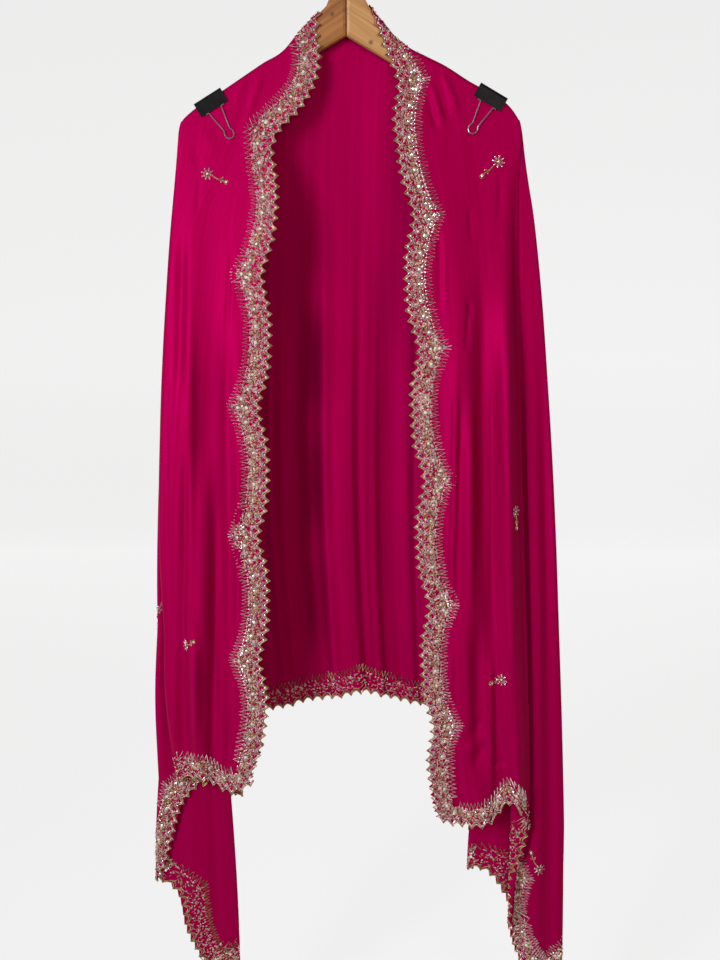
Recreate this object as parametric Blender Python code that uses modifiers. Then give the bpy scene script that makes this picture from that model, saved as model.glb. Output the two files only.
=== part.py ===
"""A long dupatta stole with a scalloped, embroidered border, hung over a wooden
coat hanger and held by two binder clips.

Metres, +Z up, front towards -Y, +X to the right of someone facing the front.
The origin is the inner top of the hanger's hook, where a rail carries it.

The cloth is one rectangle. Its middle lies behind the hook, both halves pass
over the hanger's arms to the front, and what is left falls from the two ends
of the hanger in deep folds. Each stretch of it is a surface P(s, t): s runs
across the stretch and t runs from the hanger (0) to the hem (1).
"""

import math

import bpy
import numpy as np

# ---- cloth ------------------------------------------------------------
CLOTH_WALL = 0.0015
BORDER_WALL = 0.0018
SEAM = 0.0005
FOLDED_SEAM = 0.0062
CORNER_GAP = BORDER_WALL / 2 + SEAM
BAND_WIDTH = 0.046
SCALLOP_PITCH = 0.174
NOTCH_DEPTH = 0.012
# Distance along each free edge from the ridge (or its first corner) to a notch.
NOTCH_START = {"left": 0.172, "right": 0.100, "side": 0.090, "back": 0.060}
PICOT_PITCH = 0.0205
PICOT_HEIGHT = 0.009
# Rows of the front panels below the arm, and the share of their height above the first.
FRONT_ROWS = 18
FRONT_ROWS_START = 0.035
# The seams beside the falls, as a share of the way round them.
SIDE_SEAM = 0.0008
BACK_COLUMNS = 22

# ---- drape ------------------------------------------------------------
RIDGE_DEPTH = 0.0074
RIDGE_DROP = 0.0066
OVER_ARM = 0.0105
NECK_RISE = 0.044
NECK_SEAM_DROP = 0.0022
BODY_DEPTH = 0.040
BODY_DEPTH_REACH = 0.40
SIDE_FOLDS = 4
ROLL_DEPTH = 0.009
ROLL_SHARE = 0.07
SIDE_FOLD_ROUNDNESS = 0.8
SPREAD_START = 0.12
NECK_SEAM_RISE = 0.0242
NECK_BULGE = 0.0010
NECK_SEAM_GAP = 0.015
BACK_HEM_OUTER_Z = -1.105
BACK_HEM_MIDDLE_Z = -1.078

# ---- hanger -----------------------------------------------------------
WOOD_THICKNESS = 0.0114
WOOD_BEVEL = 0.004
WOOD_CLEARANCE = 0.0027
WOOD_JOINT_GAP = 0.0003
WOOD_TOP_Z = -0.0845
WOOD_UNDERSIDE_Z = -0.152
WOOD_UNDERSIDE_SLOPE = 0.575
WOOD_SHORT_OF_RIDGE = 0.0135
WOOD_END_OUT = 0.0045
WOOD_END_DOWN = 0.008
# The rounded crown at the hook, as (distance out, distance down) from its top.
WOOD_CROWN = [(0.010, 0.0025), (0.019, 0.013)]
WOOD_STEPS = 12
HOOK_WIRE = 0.0036
HOOK_INNER_RADIUS = 0.022
FERRULE_RADIUS = 0.0048
FERRULE_HEIGHT = 0.007

# ---- binder clips -----------------------------------------------------
CLIP_LENGTH = 0.041
CLIP_SHEET = 0.0008
CLIP_ABOVE_RIDGE = 0.0035
CLIP_BELOW_RIDGE = 0.0155
CLIP_HALF_SPINE = 0.0112
CLIP_HALF_MOUTH = 0.0096
HANDLE_WIRE = 0.0016
HANDLE_LENGTH = 0.043
HANDLE_HALF_FOOT = 0.0095
HANDLE_HALF_WAIST = 0.0042
HANDLE_HALF_LOOP = 0.0062
HANDLE_FOOT_OUT = 0.00065
HANDLE_FOOT_BELOW = 0.0012
HANDLE_REST_LEAN = math.radians(3.6)
# The clips' middles on the arms, as distances from the middle of the hanger.
CLIP_REACH = {"left": 0.1815, "right": 0.1930}

# Each side has its own tables, because the two halves hang a little unlike.
# Distances from the middle are positive on both sides.
# reach: distance from the middle. z: height of the cloth over the arm.
RIDGE = {
    "left": {
        "reach": [0.0262, 0.0642, 0.0801, 0.1104, 0.1395, 0.1728, 0.1994, 0.2196],
        "z": [-0.1122, -0.1494, -0.1681, -0.1868, -0.2056, -0.2271, -0.2435, -0.2600],
    },
    "right": {
        "reach": [0.0297, 0.0689, 0.0827, 0.1031, 0.1294, 0.1625, 0.1956, 0.2156, 0.2290],
        "z": [-0.1122, -0.1568, -0.1668, -0.1768, -0.1893, -0.2094, -0.2271, -0.2410, -0.2580],
    },
}
# The front edge, along the crests of its scallops, from the neck to the corner.
FRONT_EDGE = {
    "left": {
        "z": [-0.1122, -0.165, -0.216, -0.250, -0.288, -0.375, -0.597, -0.891, -1.050, -1.1645],
        "reach": [0.0262, 0.0280, 0.0373, 0.0555, 0.0770, 0.0866, 0.0983, 0.1030, 0.1060, 0.1230],
    },
    "right": {
        "z": [-0.1122, -0.187, -0.2435, -0.344, -0.476, -0.643, -0.813, -0.984, -1.120, -1.2183],
        "reach": [0.0297, 0.0470, 0.0541, 0.0675, 0.0735, 0.0824, 0.0903, 0.0985, 0.1055, 0.1230],
    },
}
# The outer fold of the front, from the end of the arm to the hem.
OUTER_EDGE = {
    "left": {
        "z": [-0.2600, -0.365, -0.632, -0.850, -1.000, -1.1675],
        "reach": [0.2196, 0.2328, 0.2490, 0.2560, 0.2480, 0.2290],
    },
    "right": {
        "z": [-0.2580, -0.270, -0.340, -0.433, -0.603, -0.834, -1.050, -1.2400],
        "reach": [0.2290, 0.2300, 0.2245, 0.2235, 0.2284, 0.2359, 0.2440, 0.2520],
    },
}
# The front hem from the corner (along 0) to the outer fold (along 1).
FRONT_HEM = {
    "left": {
        "along": [0.0, 0.48, 0.71, 1.0],
        "z": [-1.1645, -1.1779, -1.1601, -1.1675],
    },
    "right": {
        "along": [0.0, 0.20, 0.61, 0.88, 1.0],
        "z": [-1.2183, -1.2288, -1.2243, -1.2078, -1.2400],
    },
}
# Soft vertical folds of the front. at_top and at_hem: place across the front,
# depth: how far the fold stands out (positive) or falls back, width: its half
# width across the front, start: where it begins on the way down.
FRONT_FOLDS = {
    "left": {
        "at_top": [0.30, 0.55, 0.80, 0.93],
        "at_hem": [0.34, 0.52, 0.74, 0.90],
        "depth": [0.003, -0.005, 0.008, -0.004],
        "width": [0.18, 0.12, 0.10, 0.08],
        "start": [0.15, 0.05, 0.02, 0.10],
    },
    "right": {
        "at_top": [0.25, 0.45, 0.70, 0.90],
        "at_hem": [0.30, 0.52, 0.74, 0.91],
        "depth": [-0.004, 0.008, -0.005, 0.008],
        "width": [0.10, 0.11, 0.09, 0.06],
        "start": [0.20, 0.05, 0.03, 0.10],
    },
}
# The same, across the back from the left end (0) to the right end (1).
BACK_FOLDS = {
    "at_top": [0.08, 0.20, 0.36, 0.50, 0.66, 0.82, 0.93],
    "at_hem": [0.10, 0.24, 0.37, 0.50, 0.63, 0.78, 0.91],
    "depth": [0.010, -0.005, 0.012, -0.008, 0.012, -0.005, 0.010],
    "width": [0.05, 0.06, 0.07, 0.07, 0.07, 0.06, 0.05],
    "start": [0.02, 0.05, 0.10, 0.20, 0.10, 0.05, 0.02],
}
# Falls at the sides, a row for each fold from front to back.
# inward: how far its inner bend goes in at the hem, outward: how far its outer
# bend stands past the front's outer fold at the hem, spread: the power of the
# distance down with which the outer bends stand out.
SIDE_FALL = {
    "left": {
        "inward": [0.030, 0.070, 0.075, 0.066],
        "outward": [0.000, 0.048, 0.038, 0.034, -0.010],
        "spread": 3.0,
    },
    "right": {
        "inward": [0.018, 0.078, 0.072, 0.066],
        "outward": [0.000, 0.062, 0.048, 0.040, 0.000],
        "spread": 0.4,
    },
}
SIGN = {"left": -1.0, "right": 1.0}
# How far the cut has turned, in degrees, at places from the front (0) to the
# back (1) of the falls. On the right the far corner of the cloth, its longest
# point, lies in the first outer bend.
HEM_TURN = {
    "left": [(0.0, 0.0), (0.125, 9.0), (0.25, 32.0), (0.5, 52.0), (0.75, 72.0), (1.0, 90.0)],
    "right": [(0.0, 0.0), (0.125, 30.0), (0.25, 43.0), (0.5, 61.0), (0.75, 76.0), (1.0, 90.0)],
}

# name: base colour (linear), roughness, metallic
FINISHES = {
    "cloth": ((0.40, 0.003, 0.085, 1), 0.55, 0.0),
    "embroidery": ((0.62, 0.42, 0.22, 1), 0.40, 0.5),
    "wood": ((0.55, 0.30, 0.10, 1), 0.45, 0.0),
    "black_steel": ((0.012, 0.012, 0.013, 1), 0.40, 0.3),
    "wire": ((0.75, 0.75, 0.77, 1), 0.22, 1.0),
}


def smooth_table(xs, ys, x):
    """Reads a table at x along a curve through its rows (cubic, three-point slopes)."""
    xs = np.asarray(xs, float)
    ys = np.asarray(ys, float)
    if xs[0] > xs[-1]:
        xs = xs[::-1]
        ys = ys[::-1]
    slopes = np.gradient(ys, xs)
    x = np.clip(x, xs[0], xs[-1])
    row = np.clip(np.searchsorted(xs, x, side="right") - 1, 0, len(xs) - 2)
    step = xs[row + 1] - xs[row]
    f = (x - xs[row]) / step
    return (
        (2 * f**3 - 3 * f**2 + 1) * ys[row]
        + (f**3 - 2 * f**2 + f) * step * slopes[row]
        + (3 * f**2 - 2 * f**3) * ys[row + 1]
        + (f**3 - f**2) * step * slopes[row + 1]
    )


def smooth_step(x):
    """0 below 0, 1 above 1 and 3x^2 - 2x^3 between."""
    x = np.clip(x, 0.0, 1.0)
    return x * x * (3.0 - 2.0 * x)


def ridge_z(side, reach):
    return smooth_table(RIDGE[side]["reach"], RIDGE[side]["z"], reach)


def drape_depth(down):
    """How far the cloth stands from the hanger's plane, `down` metres below the ridge.

    A quarter ellipse takes it over the arm, and then it opens out slowly.
    """
    over_arm = 1.0 - np.clip(down / RIDGE_DROP, 0.0, 1.0)
    open_out = smooth_step(down / BODY_DEPTH_REACH)
    return RIDGE_DEPTH * np.sqrt(1.0 - over_arm**2) + BODY_DEPTH * open_out


def roll(edge_distance, t):
    """How far the cloth rolls back at a stretch's outer fold, as a quarter circle.

    edge_distance is 0 at the fold and is measured as a share of the stretch.
    """
    into = np.clip(1.0 - edge_distance / ROLL_SHARE, 0.0, 1.0)
    return ROLL_DEPTH * smooth_step(t / 0.3) * (1.0 - np.sqrt(1.0 - into**2))


def fold_relief(folds, across, t):
    """Sum of the table's soft folds: depth * exp(-(distance / width)^2) * growth."""
    total = np.zeros(np.broadcast(across, t).shape)
    for top, hem, depth, width, start in zip(*(folds[key] for key in folds)):
        centre = top + (hem - top) * t
        growth = smooth_step((t - start) / 0.55)
        total += depth * growth * np.exp(-(((across - centre) / width) ** 2))
    return total


def front_surface(side, s, t):
    """The front from its free edge (s 0) to its outer fold (s 1).

    A Coons patch between the ridge, the two edges and the hem gives X and Z.
    Above the ridge (t below 0) it goes down the rear of the arm instead.
    """
    s, t = np.broadcast_arrays(np.asarray(s, float), np.asarray(t, float))
    face = np.where(t < 0, 1.0, -1.0)
    t = np.abs(t)
    inner_z = RIDGE[side]["z"][0] + (FRONT_EDGE[side]["z"][-1] - RIDGE[side]["z"][0]) * t
    outer_z = RIDGE[side]["z"][-1] + (OUTER_EDGE[side]["z"][-1] - RIDGE[side]["z"][-1]) * t
    inner_x = smooth_table(FRONT_EDGE[side]["z"], FRONT_EDGE[side]["reach"], inner_z)
    outer_x = smooth_table(OUTER_EDGE[side]["z"], OUTER_EDGE[side]["reach"], outer_z)
    neck = RIDGE[side]["reach"][0]
    end = RIDGE[side]["reach"][-1]
    top_x = neck + (end - neck) * s
    top_z = ridge_z(side, top_x)
    hem_z = smooth_table(FRONT_HEM[side]["along"], FRONT_HEM[side]["z"], s)
    x = (1 - s) * inner_x + s * outer_x
    straight_top = (1 - s) * RIDGE[side]["z"][0] + s * RIDGE[side]["z"][-1]
    straight_hem = (1 - s) * FRONT_EDGE[side]["z"][-1] + s * OUTER_EDGE[side]["z"][-1]
    z = (1 - s) * inner_z + s * outer_z
    z = z + (1 - t) * (top_z - straight_top) + t * (hem_z - straight_hem)
    down = t * (top_z - hem_z)
    relief = fold_relief(FRONT_FOLDS[side], s, t) * smooth_step((1 - s) / 0.1)
    depth = drape_depth(down) + relief - roll(1 - s, t)
    return np.stack([SIGN[side] * x, face * depth, z], axis=-1)


def front_size(side, s, t):
    """(width, height) of the front near (s, t), to turn metres into s and t."""
    left = front_surface(side, 0.0, t)
    right = front_surface(side, 1.0, t)
    top = front_surface(side, s, 0.0)
    hem = front_surface(side, s, 1.0)
    width = np.linalg.norm((right - left)[..., [0, 2]], axis=-1)
    height = np.linalg.norm((hem - top)[..., [0, 2]], axis=-1)
    return width, height


def spread_share(side, t):
    """How much of their full way the outer bends stand out, a share t of the way down."""
    return t ** SIDE_FALL[side]["spread"] * smooth_step(t / SPREAD_START)


def back_surface(s, t):
    """The back from the left end of the hanger (s 0) to its right end (s 1)."""
    s, t = np.broadcast_arrays(np.asarray(s, float), np.asarray(t, float))
    left_end = -RIDGE["left"]["reach"][-1]
    right_end = RIDGE["right"]["reach"][-1]
    top_x = left_end + (right_end - left_end) * s
    top_z = np.where(top_x < 0, ridge_z("left", -top_x), ridge_z("right", top_x))
    left_z = RIDGE["left"]["z"][-1] + (BACK_HEM_OUTER_Z - RIDGE["left"]["z"][-1]) * t
    right_z = RIDGE["right"]["z"][-1] + (BACK_HEM_OUTER_Z - RIDGE["right"]["z"][-1]) * t
    left_x = -smooth_table(OUTER_EDGE["left"]["z"], OUTER_EDGE["left"]["reach"], left_z)
    right_x = smooth_table(OUTER_EDGE["right"]["z"], OUTER_EDGE["right"]["reach"], right_z)
    left_x = left_x - SIDE_FALL["left"]["outward"][-1] * spread_share("left", t)
    right_x = right_x + SIDE_FALL["right"]["outward"][-1] * spread_share("right", t)
    x = (1 - s) * left_x + s * right_x
    hem_z = BACK_HEM_OUTER_Z + (BACK_HEM_MIDDLE_Z - BACK_HEM_OUTER_Z) * np.sin(math.pi * s) ** 2
    z = top_z + (hem_z - top_z) * t
    relief = fold_relief(BACK_FOLDS, s, t) * smooth_step(s / 0.08) * smooth_step((1 - s) / 0.08)
    depth = drape_depth(t * (top_z - hem_z)) + relief - roll(np.minimum(s, 1 - s), t)
    return np.stack([x, depth, z], axis=-1)


def neck_surface(s, t):
    """The border behind the hook, from its free edge (t 0) down to the back (t 1)."""
    s, t = np.broadcast_arrays(np.asarray(s, float), np.asarray(t, float))
    free_left, free_right = -RIDGE["left"]["reach"][0], RIDGE["right"]["reach"][0]
    seam_left, seam_right = -RIDGE["left"]["reach"][1], RIDGE["right"]["reach"][1]
    rise = np.sin(math.pi * s)
    free_x = free_left + (free_right - free_left) * s
    seam_x = seam_left + (seam_right - seam_left) * s
    free_z = RIDGE["left"]["z"][0] - OVER_ARM - NECK_SEAM_DROP + NECK_RISE * rise
    ridge_seam = (1 - s) * RIDGE["left"]["z"][1] + s * RIDGE["right"]["z"][1]
    seam_z = ridge_seam - OVER_ARM - NECK_SEAM_DROP + NECK_SEAM_RISE * rise
    x = free_x + (seam_x - free_x) * t
    z = free_z + (seam_z - free_z) * t
    y = RIDGE_DEPTH + NECK_BULGE * rise
    return np.stack([x, y, z], axis=-1)


def side_length(side, q):
    """From the end of the arm to the hem, for each place q round the side's folds.

    The cut edges are straight, so seen from the end of the arm the hem lies at
    length / cos(angle) on the short edge and width / sin(angle) on the long one.
    Little of the cloth is in the bends, so the angle hardly grows there.
    """
    tip_z = RIDGE[side]["z"][-1]
    length = tip_z - OUTER_EDGE[side]["z"][-1]
    width = tip_z - BACK_HEM_OUTER_Z
    slow_bends = np.sin(4 * math.pi * SIDE_FOLDS * q) / (4 * math.pi * SIDE_FOLDS)
    places, turns = zip(*HEM_TURN[side])
    angle = np.radians(smooth_table(places, turns, q - slow_bends))
    return np.minimum(
        length / np.maximum(np.cos(angle), 0.05), width / np.maximum(np.sin(angle), 0.05)
    )


def side_surface(side, q, t):
    """The folds that fall from one end of the hanger, front (q 0) to back (q 1)."""
    q, t = np.broadcast_arrays(np.asarray(q, float), np.asarray(t, float))
    down = t * side_length(side, q)
    z = RIDGE[side]["z"][-1] - down
    seam_x = smooth_table(OUTER_EDGE[side]["z"], OUTER_EDGE[side]["reach"], z)
    spread = spread_share(side, t)
    rows = np.arange(SIDE_FOLDS + 1) / SIDE_FOLDS
    middles = (np.arange(SIDE_FOLDS) + 0.5) / SIDE_FOLDS
    outward = smooth_table(rows, SIDE_FALL[side]["outward"], q)
    inward = np.interp(q, middles, SIDE_FALL[side]["inward"])
    wave = 0.5 * (1 - np.cos(2 * math.pi * SIDE_FOLDS * q))
    bulge = RIDGE_DEPTH * np.sin(math.pi * q) * (1 - smooth_step(t / 0.3))
    x = seam_x + bulge + spread * outward * (1 - wave) - smooth_step(t) * inward * wave
    sway = SIDE_FOLD_ROUNDNESS * np.sin(4 * math.pi * SIDE_FOLDS * q)
    place = 2 * (q + sway * smooth_step(t / 0.2) / (4 * math.pi * SIDE_FOLDS)) - 1
    depth = drape_depth(down) - roll(0.0, t)
    return np.stack([SIGN[side] * x, place * depth, z], axis=-1)


def add_material(obj, name):
    colour, roughness, metallic = FINISHES[name]
    material = bpy.data.materials.get(name) or bpy.data.materials.new(name)
    material.use_nodes = True
    shader = material.node_tree.nodes["Principled BSDF"]
    shader.inputs["Base Color"].default_value = colour
    shader.inputs["Roughness"].default_value = roughness
    shader.inputs["Metallic"].default_value = metallic
    obj.data.materials.append(material)


def add_mesh(name, vertices, faces, finish, smooth=True):
    mesh = bpy.data.meshes.new(name)
    mesh.from_pydata([tuple(v) for v in vertices], [], faces)
    mesh.validate()
    if smooth:
        mesh.shade_smooth()
    obj = bpy.data.objects.new(name, mesh)
    PART.objects.link(obj)
    add_material(obj, finish)
    return obj


def add_sheet(name, grid, wall, finish):
    """A cloth wall: a grid of points (rows, columns, 3) thickened both ways."""
    rows, columns = grid.shape[:2]
    index = np.arange(rows * columns).reshape(rows, columns)
    faces = np.stack(
        [index[:-1, :-1], index[1:, :-1], index[1:, 1:], index[:-1, 1:]], axis=-1
    ).reshape(-1, 4)
    obj = add_mesh(name, grid.reshape(-1, 3), faces.tolist(), finish)
    thick = obj.modifiers.new("wall", "SOLIDIFY")
    thick.thickness = wall
    thick.offset = 0.0
    return obj


def notch(distance, start):
    """How far the free edge is cut back: 0 on a scallop's crest, 1 in a notch."""
    phase = (distance - start) / SCALLOP_PITCH
    return np.abs(np.cos(math.pi * phase)) ** 5.0


def picot_edge(distance, start, steps):
    """The free edge at `distance` along it, metres in from the crest line.

    Even steps are tips of the picots and odd ones the valleys between them.
    """
    return NOTCH_DEPTH * notch(distance, start) + PICOT_HEIGHT * (steps % 2)


def rows_over_arm(height):
    """Places (1 is `height` metres down) from behind the arm, over it and down its front."""
    drops = np.array([-OVER_ARM, -0.0045, -0.0012, 0.0, 0.0012, 0.0045, OVER_ARM])
    return drops / height


def divide(places, pieces):
    """Divides each gap between `places` into that many pieces, and counts the steps."""
    divided = [places[0]]
    steps = [0]
    for low, high, count in zip(places[:-1], places[1:], pieces):
        divided.extend(np.linspace(low, high, count + 1)[1:])
        steps.extend(steps[-1] + np.arange(1, count + 1) * (count > 1))
    return np.array(divided), np.array(steps)


def follow(panel_places, panel_points, places):
    """Points at `places` on the straight pieces between a panel's edge points."""
    return np.stack(
        [np.interp(places, panel_places, panel_points[:, axis]) for axis in range(3)], axis=-1
    )


def add_front(side):
    """The front panel, its long border and the border of its short hem."""
    height = front_size(side, 0.0, 0.5)[1]
    hem_band = BAND_WIDTH / front_size(side, 0.5, 1.0)[1]
    over = rows_over_arm(height)
    rows = np.concatenate([over, np.linspace(FRONT_ROWS_START, 1 - hem_band - SEAM, FRONT_ROWS + 1)])
    width = front_size(side, 0.0, np.abs(rows))[0]
    seam = (BAND_WIDTH + SEAM) / width
    across = np.linspace(0.0, 1.0, 13)
    s = seam[:, None] + (1 - CORNER_GAP / width[:, None] - seam[:, None]) * across[None, :]
    panel = front_surface(side, s, rows[:, None])
    add_sheet(f"front_panel_{side}", orient(side, panel), CLOTH_WALL, "cloth")

    inner_s = np.append(BAND_WIDTH / width, BAND_WIDTH / width[-1])
    rows = np.append(rows, 1.0)
    columns, steps = divide(rows, [1] * (len(over) - 1) + [2] + [5] * FRONT_ROWS + [4])
    inner = follow(rows, front_surface(side, inner_s, rows), columns)
    width = front_size(side, 0.0, np.abs(columns))[0]
    free = picot_edge(columns * height, NOTCH_START[side], steps) / width
    free = front_surface(side, free, columns)
    grid = np.stack([free, 0.5 * (free + inner), inner], axis=1)
    add_sheet(f"border_front_{side}", orient(side, grid), BORDER_WALL, "embroidery")

    hem_width = front_size(side, 0.0, 1.0)[0]
    s = s[-1] + SEAM / hem_width * (1 - across)
    steps = np.arange(len(s))
    cut = picot_edge(s * hem_width - BAND_WIDTH, -SCALLOP_PITCH / 2, steps) / front_size(side, s, 1.0)[1]
    t = np.stack([np.full_like(s, 1 - hem_band + SEAM / 2), 1 - cut], axis=0)
    grid = front_surface(side, s[None, :], t)
    add_sheet(f"border_hem_{side}", orient(side, grid), BORDER_WALL, "embroidery")


def orient(side, grid):
    """Turns a left-hand grid round, so that both sides face outwards."""
    return grid[:, ::-1] if side == "left" else grid


def add_side(side):
    """The falls under one end of the hanger and the border along their hem."""
    q = np.linspace(SIDE_SEAM, 1 - SIDE_SEAM, SIDE_FOLDS * 10 + 1)
    rows = np.concatenate([[0.0012, 0.0045, 0.0105], np.linspace(0.04, 1.0, 12)])
    length = side_length(side, q)
    t = rows[:, None] * (1 - (BAND_WIDTH + FOLDED_SEAM / 2) / length)[None, :]
    add_sheet(f"side_fall_{side}", orient(side, side_surface(side, q[None, :], t)),
              CLOTH_WALL, "cloth")
    top = side_surface(side, q, 1 - (BAND_WIDTH - FOLDED_SEAM / 2) / length)
    columns = np.linspace(q[0], q[-1], SIDE_FOLDS * 20 + 1)
    hem = side_surface(side, columns, 1.0)
    distance = np.concatenate([[0.0], np.cumsum(np.linalg.norm(np.diff(hem, axis=0), axis=1))])
    steps = np.arange(len(columns))
    cut = picot_edge(distance, NOTCH_START["side"], steps) / side_length(side, columns)
    grid = np.stack([follow(q, top, columns), side_surface(side, columns, 1 - cut)], axis=0)
    add_sheet(f"border_side_{side}", orient(side, grid), BORDER_WALL, "embroidery")


def add_back():
    """The back panel, the border along its hem and the border behind the hook."""
    span = RIDGE["left"]["reach"][-1] + RIDGE["right"]["reach"][-1]
    corner = CORNER_GAP / span
    s = np.linspace(corner, 1 - corner, BACK_COLUMNS + 1)
    ridge = back_surface(s, 0.0)
    hem = back_surface(s, 1.0)
    height = ridge[:, 2] - hem[:, 2]
    left_seam, right_seam = -RIDGE["left"]["reach"][1], RIDGE["right"]["reach"][1]
    place = np.clip((ridge[:, 0] - left_seam) / (right_seam - left_seam), 0.0, 1.0)
    neck_drop = ridge[:, 2] - neck_surface(place, 1.0)[:, 2] + 4 * SEAM
    start = np.maximum(neck_drop, OVER_ARM + 2.5 * SEAM) / height
    rows = np.concatenate([[0.0, 0.02], np.linspace(0.05, 1.0, 12)])
    last = 1 - (BAND_WIDTH + SEAM / 2) / height
    t = start[None, :] + (last - start)[None, :] * rows[:, None]
    add_sheet("back_panel", back_surface(s[None, :], t)[:, ::-1], CLOTH_WALL, "cloth")

    top = back_surface(s, 1 - (BAND_WIDTH - SEAM / 2) / height)
    columns, steps = divide(s, [2] * BACK_COLUMNS)
    cut = picot_edge(columns * span, NOTCH_START["back"], steps) / np.interp(columns, s, height)
    grid = np.stack([follow(s, top, columns), back_surface(columns, 1 - cut)], axis=0)
    add_sheet("border_back", grid[:, ::-1], BORDER_WALL, "embroidery")

    s, steps = divide([0.0, 1.0], [2 * round((right_seam - left_seam) / PICOT_PITCH)])
    free = PICOT_HEIGHT * (steps % 2) / BAND_WIDTH
    t = np.stack([free, np.full_like(free, 0.5), np.full_like(free, 1 - NECK_SEAM_GAP)], axis=0)
    add_sheet("border_neck", neck_surface(s[None, :], t)[:, ::-1], BORDER_WALL, "embroidery")


def add_wood(side):
    """One half of the hanger: a flat outline with rounded edges."""
    ridge_end = RIDGE[side]["reach"][-1] - WOOD_SHORT_OF_RIDGE
    reaches = np.linspace(RIDGE[side]["reach"][0], ridge_end, WOOD_STEPS)
    upper = [(WOOD_JOINT_GAP / 2, WOOD_TOP_Z)]
    upper += [(out, WOOD_TOP_Z - down) for out, down in WOOD_CROWN]
    upper += [(r, float(ridge_z(side, r)) - WOOD_CLEARANCE) for r in reaches]
    end_r, end_z = upper[-1]
    lower = []
    for r in np.linspace(end_r - WOOD_END_OUT, WOOD_JOINT_GAP / 2, WOOD_STEPS // 2):
        lower.append((r, WOOD_UNDERSIDE_Z - WOOD_UNDERSIDE_SLOPE * r))
    outline = upper + [(end_r + WOOD_END_OUT, end_z - WOOD_END_DOWN)] + lower
    curve = bpy.data.curves.new(f"hanger_wood_{side}", "CURVE")
    curve.dimensions = "2D"
    curve.fill_mode = "BOTH"
    curve.extrude = WOOD_THICKNESS / 2 - WOOD_BEVEL
    curve.bevel_depth = WOOD_BEVEL
    curve.bevel_resolution = 1
    curve.offset = -WOOD_BEVEL
    spline = curve.splines.new("POLY")
    spline.points.add(len(outline) - 1)
    spline.use_cyclic_u = True
    for point, (r, z) in zip(spline.points, outline):
        point.co = (SIGN[side] * r, z, 0.0, 1.0)
    obj = bpy.data.objects.new(f"hanger_wood_{side}", curve)
    obj.rotation_euler = (math.pi / 2, 0.0, 0.0)
    PART.objects.link(obj)
    add_material(obj, "wood")
    return obj


def add_wire(name, points, diameter, cyclic=False, finish="wire"):
    curve = bpy.data.curves.new(name, "CURVE")
    curve.dimensions = "3D"
    curve.bevel_depth = diameter / 2
    curve.bevel_resolution = 1
    curve.use_fill_caps = True
    spline = curve.splines.new("POLY")
    spline.points.add(len(points) - 1)
    spline.use_cyclic_u = cyclic
    for point, (x, y, z) in zip(spline.points, points):
        point.co = (x, y, z, 1.0)
    obj = bpy.data.objects.new(name, curve)
    PART.objects.link(obj)
    add_material(obj, finish)
    return obj


def add_hook():
    """The wire hook, an open ring on a straight shank, and its ferrule."""
    radius = HOOK_INNER_RADIUS + HOOK_WIRE / 2
    centre_z = -HOOK_INNER_RADIUS
    points = []
    for angle in np.radians(np.linspace(75.0, -150.0, 22)):
        points.append((-radius * math.sin(angle), 0.0, centre_z + radius * math.cos(angle)))
    bend = [(-0.0080, 0.0, -0.0500), (-0.0016, 0.0, -0.0580)]
    shank_end = WOOD_TOP_Z + FERRULE_HEIGHT + 0.0009
    shank = [(0.0, 0.0, -0.0680), (0.0, 0.0, shank_end)]
    add_wire("hook", points + bend + shank, HOOK_WIRE)
    bpy.ops.mesh.primitive_cylinder_add(
        vertices=20, radius=FERRULE_RADIUS, depth=FERRULE_HEIGHT,
        location=(0.0, 0.0, WOOD_TOP_Z + FERRULE_HEIGHT / 2 + 0.0004),
    )
    ferrule = bpy.context.object
    ferrule.name = "hook_ferrule"
    for collection in list(ferrule.users_collection):
        collection.objects.unlink(ferrule)
    PART.objects.link(ferrule)
    add_material(ferrule, "wire")


def clip_frame(side):
    """Empty on the ridge at the clip's middle, its X along the ridge."""
    reach = CLIP_REACH[side]
    step = 0.012
    z = float(ridge_z(side, reach))
    rise = float(ridge_z(side, reach + step) - ridge_z(side, reach - step))
    slope = math.atan2(-rise * SIGN[side], 2 * step)
    frame = bpy.data.objects.new(f"clip_{side}_frame", None)
    frame.location = (SIGN[side] * reach, 0.0, z)
    frame.rotation_euler = (0.0, slope, 0.0)
    PART.objects.link(frame)
    return frame


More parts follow.
